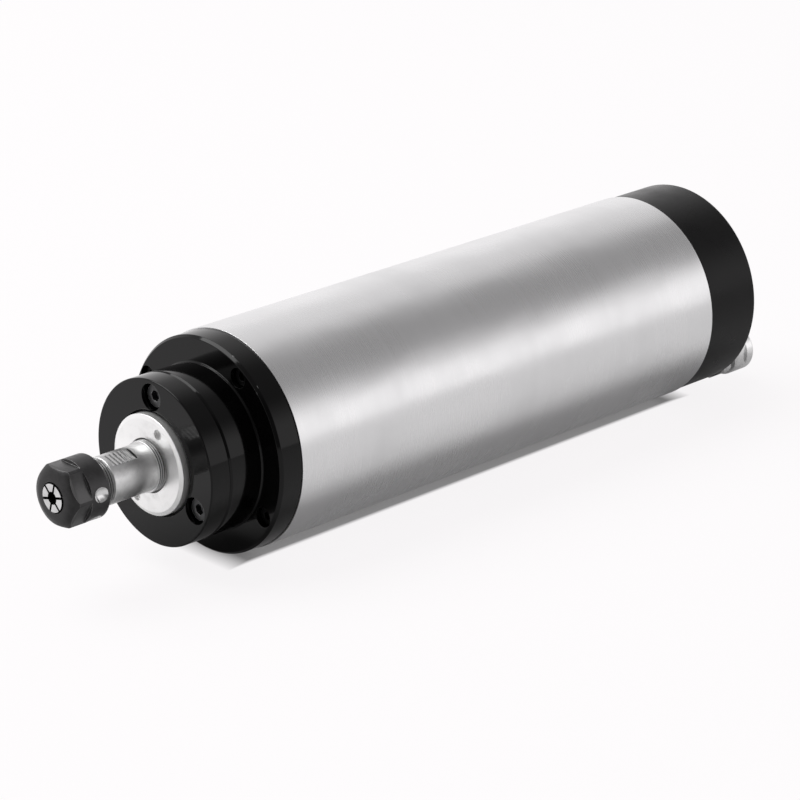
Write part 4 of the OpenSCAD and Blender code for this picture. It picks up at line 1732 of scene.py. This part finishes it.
@dataclass
class PowerSocket:
    """The round four-pin power socket in the rear cap.

    Attributes:
        centre: X and Z of its axis.
        face: Y of the rear cap's face.
        mouth: Y of the socket's mouth.
        rear: Y of its inner end.
        bore: Radius inside the shell.
        barrel: Radius of the threaded barrel.
        flange: Radius of the shell's flange.
        pins: Angles of the pins.
        pin_reach: Their distance from the socket's axis.
    """

    centre: Line = (0.0, SOCKET_HEIGHT)
    face: float = REAR_FACE
    mouth: float = 205.0
    rear: float = 184.0
    bore: float = 6.7
    barrel: float = 7.9
    flange: float = 9.6
    pins: Angles = (0, 90, 180, 270)
    pin_reach: float = 3.5

    def pin_places(self) -> list[Line]:
        """Lists X and Z of the pins."""
        return [spot(a, self.pin_reach, self.centre) for a in self.pins]

    def shell(self, thread: Rule) -> bpy.types.Object:
        """Turns the shell, cuts its thread and files its key slot.

        Args:
            thread: The rule that cuts a thread.

        Returns:
            The shell.
        """
        corners = [(self.bore, self.rear, 0.1), (self.barrel, self.rear, 0.2), (self.barrel, self.face, 0.05),
                   (self.flange, self.face, 0.1), (self.flange, self.face + 2.0, 0.35),
                   (self.barrel, self.face + 2.2, 0.1), (self.barrel, self.mouth, 0.4),
                   (self.bore, self.mouth, 0.2)]
        points, marks = rounded(corners, 4, 0.03)
        points, marks = filled_in(points, marks, [(self.face + 2.4, self.mouth - 0.5, 0.12)], self.barrel)
        piece = turned("socket_shell", points, marks, 160, self.centre)
        thread.run(piece, CHROME.material(), Start=(self.face + 3.2) * MM, End=(self.mouth - 0.3) * MM,
                   Pitch=1.0 * MM, Depth=0.45 * MM, Major_Radius=self.barrel * MM,
                   Centre_X=self.centre[0] * MM, Centre_Z=self.centre[1] * MM)
        half, near, far = 0.9, self.centre[1] + 5, self.centre[1] + 10
        carve(piece, [prism(self.mouth - 5, self.mouth + 1, [(-half, near), (half, near), (half, far),
                                                             (-half, far)])])
        return piece

    def insert(self) -> bpy.types.Object:
        """Turns the insulator and drills it for the pins.

        Returns:
            The insulator.
        """
        radius, back, front = self.bore - 0.04, self.rear + 1, self.face + 3
        piece = lathe("socket_insert", [(0, back, 0), (radius, back, 0.2), (radius, front, 0.4),
                                        (0, front, 0)], 96, self.centre)
        carve(piece, [rod(self.rear, self.face + 4, 0.78, place, segments=24) for place in self.pin_places()])
        carve(piece, [rod(self.face + 2.2, self.face + 4, 1.25, place, segments=32)
                      for place in self.pin_places()])
        return piece

    def contacts(self) -> bpy.types.Object:
        """Turns the four pins with their round tips.

        Returns:
            The pins as one object.
        """
        tail, tip, radius = self.rear - 3, self.mouth - 2, 0.75
        return joined("socket_pins", [lathe("pin", [(0, tail, 0), (radius, tail, 0.1), (radius, tip, 0.7),
                                                    (0, tip, 0)], 32, place, 6)
                                      for place in self.pin_places()])

    def nut(self) -> bpy.types.Object:
        """Makes the hexagon nut that holds the shell from inside the cap.

        Returns:
            The nut.
        """
        piece = prism(self.face - 7.5, self.face - 4.5, hexagon(20, self.centre), "socket_nut")
        carve(piece, [rod(self.face - 9, self.face, self.barrel + 0.05, self.centre, segments=72)])
        return piece

    def dress(self, thread: Rule) -> None:
        """Builds the socket and hands it over.

        Args:
            thread: The rule that cuts a thread.
        """
        hand_over(self.shell(thread), CHROME, Body.HOUSING, Slot.PLATED, "power_socket_shell")
        hand_over(self.insert(), INSULATOR, Body.HOUSING, Slot.INSULATOR, "power_socket_insert")
        hand_over(self.contacts(), GOLD, Body.HOUSING, Slot.CONTACT, "power_socket_pins")
        hand_over(self.nut(), CHROME, Body.HOUSING, Slot.PLATED, "power_socket_nut")


@dataclass
class HoseUnions:
    """The two coolant hose unions in the rear cap.

    Attributes:
        angles: Their angles.
        reach: Their distance from the axis.
        face: Y of the rear cap's face.
        across: Distance across the flats of the body's hexagon.
        barrel: Radius of the body's thread.
        nut_radius: Radius of the coupling nut.
    """

    angles: Angles = UNION_ANGLES
    reach: float = UNION_REACH
    face: float = REAR_FACE
    across: float = 13.0
    barrel: float = 5.4
    nut_radius: float = 7.25

    def fitting(self, angle: float, thread: Rule) -> bpy.types.Object:
        """Makes the body of one union: threaded shank, hexagon, neck and barb.

        Args:
            angle: Its angle.
            thread: The rule that cuts a thread.

        Returns:
            The body.
        """
        centre = spot(angle, self.reach)
        f, r = self.face, self.barrel
        blank = self.across / math.sqrt(3) - 0.08
        collar = lathe("collar", [(4.9, f + 0.95, 0), (blank, f + 0.95, 0.7), (blank, f + 4.5, 0.7),
                                  (4.9, f + 4.5, 0)], 96, centre)
        carve(collar, [prism(f - 1, f + 6, hexagon(self.across, centre, angle + 30.7))], Cut.KEEP_COMMON)
        points, marks = rounded([(1.8, f - 9, 0.1), (4.95, f - 9, 0.3), (4.95, f + 1.5, 0), (r, f + 1.5, 0),
                                 (r, f + 10.6, 0.25), (2.7, f + 10.6, 0.1), (3.1, f + 12.4, 0.1),
                                 (2.6, f + 12.4, 0.05), (2.85, f + 14, 0.3), (1.8, f + 14, 0.15)], 3, 0.03)
        points, marks = filled_in(points, marks, [(f + 4.6, f + 10.2, 0.12)], r)
        core = turned("core", points, marks, 96, centre)
        thread.run(core, PLATED.material(), Start=(f + 4.8) * MM, End=(f + 10.4) * MM, Pitch=1.0 * MM,
                   Depth=0.4 * MM, Major_Radius=r * MM, Centre_X=centre[0] * MM, Centre_Z=centre[1] * MM)
        return joined("fitting", [collar, core])

    def coupling(self, angle: float) -> bpy.types.Object:
        """Makes one coupling nut with two flats.

        Args:
            angle: Its angle.

        Returns:
            The nut.
        """
        centre = spot(angle, self.reach)
        r, f = self.nut_radius, self.face
        corners = [(5.45, f + 6.5, 0.1), (r, f + 6.5, 0.4), (r, f + 14.6, 0.7), (r - 1.0, f + 15.2, 0.3),
                   (4.1, f + 15.2, 0.2), (4.1, f + 11.5, 0.1), (5.45, f + 11.5, 0.1)]
        piece = lathe("coupling", corners, 144, centre)
        carve(piece, [bar(f + 5, f + 11.6, 6.5, 12, 10, a, centre) for a in (0, 180)])
        return piece

    def washer(self, angle: float) -> bpy.types.Object:
        """Makes one sealing ring under a union's hexagon.

        Args:
            angle: The union's angle.

        Returns:
            The ring.
        """
        inner, outer, under, over = 5.0, 6.4, self.face + 0.01, self.face + 0.99
        return lathe("washer", [(inner, under, 0.1), (outer, under, 0.3), (outer, over, 0.3),
                                (inner, over, 0.1)], 72, spot(angle, self.reach), 3)

    def dress(self, thread: Rule) -> None:
        """Builds both unions and hands them over.

        Args:
            thread: The rule that cuts a thread.
        """
        bodies = joined("union_bodies", [self.fitting(a, thread) for a in self.angles])
        hand_over(bodies, PLATED, Body.HOUSING, Slot.PLATED, "water_nozzles")
        nuts = joined("union_nuts", [self.coupling(a) for a in self.angles])
        hand_over(nuts, PLATED, Body.HOUSING, Slot.PLATED, "nozzle_nuts")
        washers = joined("union_washers", [self.washer(a) for a in self.angles])
        hand_over(washers, RUBBER, Body.HOUSING, Slot.SEAL, "nozzle_seals")


@dataclass
class InnerWorks:
    """The CAD nodes that stay as they are, each with its finish.

    Attributes:
        finishes: The nodes that each finish goes on.
    """

    finishes: dict[Finish, tuple[str, ...]] = field(default_factory=lambda: {
        JACKET: ("water_jacket", "rear_housing"),
        RUBBER: ("jacket_seals", "port_seals"),
        CORE: ("stator_core", "rotor_core"),
        COPPER: ("stator_windings",),
        CAST: ("rotor_cage",),
        SPACER: ("inner_spacer", "outer_spacer"),
        BEARING: ("front_bearing_outer_rings", "front_bearing_inner_rings", "front_bearing_1_balls",
                  "front_bearing_2_balls", "rear_bearing_outer_ring", "rear_bearing_inner_ring",
                  "rear_bearing_balls"),
        RESIN: ("front_bearing_1_cage", "front_bearing_2_cage", "rear_bearing_cage"),
        SPRING: ("preload_spring", "rear_circlip"),
        LEAD: ("winding_leads",)})

    def dress(self, nodes: dict[str, bpy.types.Object]) -> None:
        """Gives each CAD node its finish.

        Args:
            nodes: The CAD nodes by name.
        """
        for finish, names in self.finishes.items():
            for name in names:
                nodes[name].data.materials.clear()
                nodes[name].data.materials.append(finish.material())
                LOG.info("%s: stays as it is, in %s", name, finish.name)


# ---------------------------------------------------------------------------------------------
# Studio


@dataclass
class Studio:
    """Floor, light and camera.

    Attributes:
        floor: Height of the floor, in metres.
        eye: Place of the camera, in metres.
        azimuth: Direction that it looks from, in degrees.
        elevation: Its height over the object, in degrees.
        lens: Focal length for a sensor of 36 mm.
        mirrored_white: Share of the white floor in what metal mirrors on the object's near side, away
            from the object.
        mirrored_shade: The same next to the object, where the floor keeps most of its shadow.
        contact: Share of the white floor right under the object.
        middle: Y of the middle of the strip that the tube rests on, in metres.
        side: Half the side of the floor, in metres.
        bounce: Grey of the floor in the light that it throws back.
        shadow: Grey of what shows the shadow on the white floor.
        white: Colour that the white floor glows in.
        backdrop: Colour of the world where the camera sees it.
        daylight: Colour of the world's light.
        ceiling: Strength of the world's light straight above.
        key: Place of the lamp, in metres.
        key_size: Width of the lamp, in metres.
        key_watts: Power of the lamp.
    """

    floor: float = -0.0325
    eye: Point = (0.65582, -0.56796, 0.34814)
    azimuth: float = 45.836
    elevation: float = 21.230
    lens: float = 147.97
    mirrored_white: float = 0.45
    mirrored_shade: float = 0.12
    contact: float = 0.15
    middle: float = 0.086
    side: float = 6.0
    bounce: Colour = (0.55, 0.55, 0.55)
    shadow: Colour = (0.09, 0.09, 0.09)
    white: Colour = (0.893, 0.877, 0.885)
    backdrop: Colour = (0.985, 0.968, 0.976)
    daylight: Colour = (1.0, 0.985, 0.992)
    ceiling: float = 0.31
    key: Point = (-0.71, -0.43, 1.48)
    key_size: float = 1.45
    key_watts: float = 22.0

    def ground(self) -> None:
        """Lays the pale floor."""
        mesh = bpy.data.meshes.new("floor")
        corners = [(-1, -1), (1, -1), (1, 1), (-1, 1)]
        mesh.from_pydata([(x * self.side, y * self.side, self.floor) for x, y in corners], [], [(0, 1, 2, 3)])
        floor = link("floor", mesh)
        mesh.materials.append(self.paint())

    def paint(self) -> bpy.types.Material:
        """Makes the floor's paint: a soft shadow on white, and the full shadow where the tube rests.

        Returns:
            The material.
        """
        paint = bpy.data.materials.new("Pale floor")
        paint.use_nodes = True
        paint.node_tree.nodes.clear()
        board = Board(paint.node_tree)
        x, y, _ = board.parts(board.place())
        path = board.add("ShaderNodeLightPath")
        direct = board.most(path.outputs["Is Camera Ray"], path.outputs["Is Transmission Ray"])
        beside = board.spread(y, -0.02, 0.012, 0.0, self.mirrored_shade)
        near_side = board.spread(x, 0.028, 0.052, 0.0, self.mirrored_white)
        far_side = board.spread(x, -0.008, -0.036, 0.0, 1.0)
        mirrored = board.times(path.outputs["Is Glossy Ray"], board.most(beside, near_side, far_side))
        aside = board.spread(board.size(x), 0.0128, 0.0146, self.contact, 1.0)
        beyond = board.spread(board.size(board.minus(y, self.middle)), 0.088, 0.099, 0.0, 1.0)
        share = board.most(board.times(direct, board.most(aside, beyond)), mirrored)
        plain = board.add("ShaderNodeBsdfDiffuse", {"Color": (*self.bounce, 1.0)})
        shadow = board.add("ShaderNodeBsdfDiffuse", {"Color": (*self.shadow, 1.0)})
        white = board.add("ShaderNodeEmission", {"Color": (*self.white, 1.0), "Strength": 1.0})
        seen = board.add("ShaderNodeAddShader", {0: shadow.outputs[0], 1: white.outputs[0]})
        both = board.add("ShaderNodeMixShader", {0: share, 1: plain.outputs[0], 2: seen.outputs[0]})
        board.add("ShaderNodeOutputMaterial", {"Surface": both.outputs[0]})
        return paint

    def sky(self) -> None:
        """Sets the world: a white horizon, a grey ceiling that lifts to -X, and a dark camera side.

        The camera itself sees a plain white in all directions.
        """
        world = bpy.data.worlds.new("studio")
        bpy.context.scene.world = world
        world.use_nodes = True
        world.node_tree.nodes.clear()
        board = Board(world.node_tree)
        x, y, z = board.parts(board.add("ShaderNodeTexCoord").outputs["Generated"])
        low = board.spread(z, 0.25, 0.63, 1.0, 0.0, soft=True)
        horizon = board.spread(x, 0.2, 0.6, 0.72, 0.91)
        left = board.spread(x, 0.1, -0.45, 0.0, 0.5, soft=True)
        high = board.spread(z, 0.3, 0.62, 0.0, 1.0)
        level = board.plus(self.ceiling, board.times(horizon, low), board.times(left, high))
        towards = board.minus(board.times(x, 0.66), board.times(y, 0.75))
        behind = board.spread(towards, 0.62, 0.9, 1.0, 0.15, soft=True)
        light = board.add("ShaderNodeBackground", {"Color": (*self.daylight, 1.0),
                                                   "Strength": board.times(level, behind)})
        plain = board.add("ShaderNodeBackground", {"Color": (*self.backdrop, 1.0), "Strength": 1.0})
        seen = board.add("ShaderNodeLightPath").outputs["Is Camera Ray"]
        both = board.add("ShaderNodeMixShader", {0: seen, 1: light.outputs[0], 2: plain.outputs[0]})
        board.add("ShaderNodeOutputWorld", {"Surface": both.outputs[0]})

    def lamp(self) -> None:
        """Hangs the soft lamp, which points at the object."""
        data = bpy.data.lights.new("key", "AREA")
        data.shape = "DISK"
        data.size = self.key_size
        data.energy = self.key_watts
        lamp = bpy.data.objects.new("key", data)
        bpy.context.scene.collection.objects.link(lamp)
        lamp.location = self.key
        lamp.rotation_mode = "QUATERNION"
        lamp.rotation_quaternion = (-Vector(self.key)).to_track_quat("-Z", "Y")
        lamp.visible_camera = False

    def camera(self) -> None:
        """Sets the camera where the photograph was taken from."""
        data = bpy.data.cameras.new("camera")
        data.lens = self.lens
        data.sensor_width = 36.0
        data.sensor_fit = "HORIZONTAL"
        data.clip_start = 0.01
        data.clip_end = 100.0
        camera = bpy.data.objects.new("camera", data)
        bpy.context.scene.collection.objects.link(camera)
        a, e = math.radians(self.azimuth), math.radians(self.elevation)
        back = Vector((math.sin(a) * math.cos(e), -math.cos(a) * math.cos(e), math.sin(e)))
        camera.location = self.eye
        camera.rotation_mode = "QUATERNION"
        camera.rotation_quaternion = (-back).to_track_quat("-Z", "Y")
        bpy.context.scene.camera = camera

    def dress(self) -> None:
        """Sets floor, light and camera."""
        self.ground()
        self.sky()
        self.lamp()
        self.camera()
        bpy.context.scene.view_settings.view_transform = "Standard"
        LOG.info("studio: floor, sky, lamp and camera")


def main() -> None:
    """Builds the spindle piece by piece."""
    logging.basicConfig(level=logging.INFO, format="%(name)s: %(message)s")
    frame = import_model()
    thread, flats, fasteners = thread_rule(), flats_rule(), fastener_rule()
    BodySleeve().dress()
    FrontBell().dress(fasteners)
    BearingCover().dress(fasteners)
    LockNut().dress()
    SpindleShaft().dress(thread, flats)
    ColletChuck().dress()
    RearBell().dress(fasteners)
    PowerSocket().dress(thread)
    HoseUnions().dress(thread)
    InnerWorks().dress(frame["nodes"])
    Studio().dress()


if __name__ == "__main__":
    main()
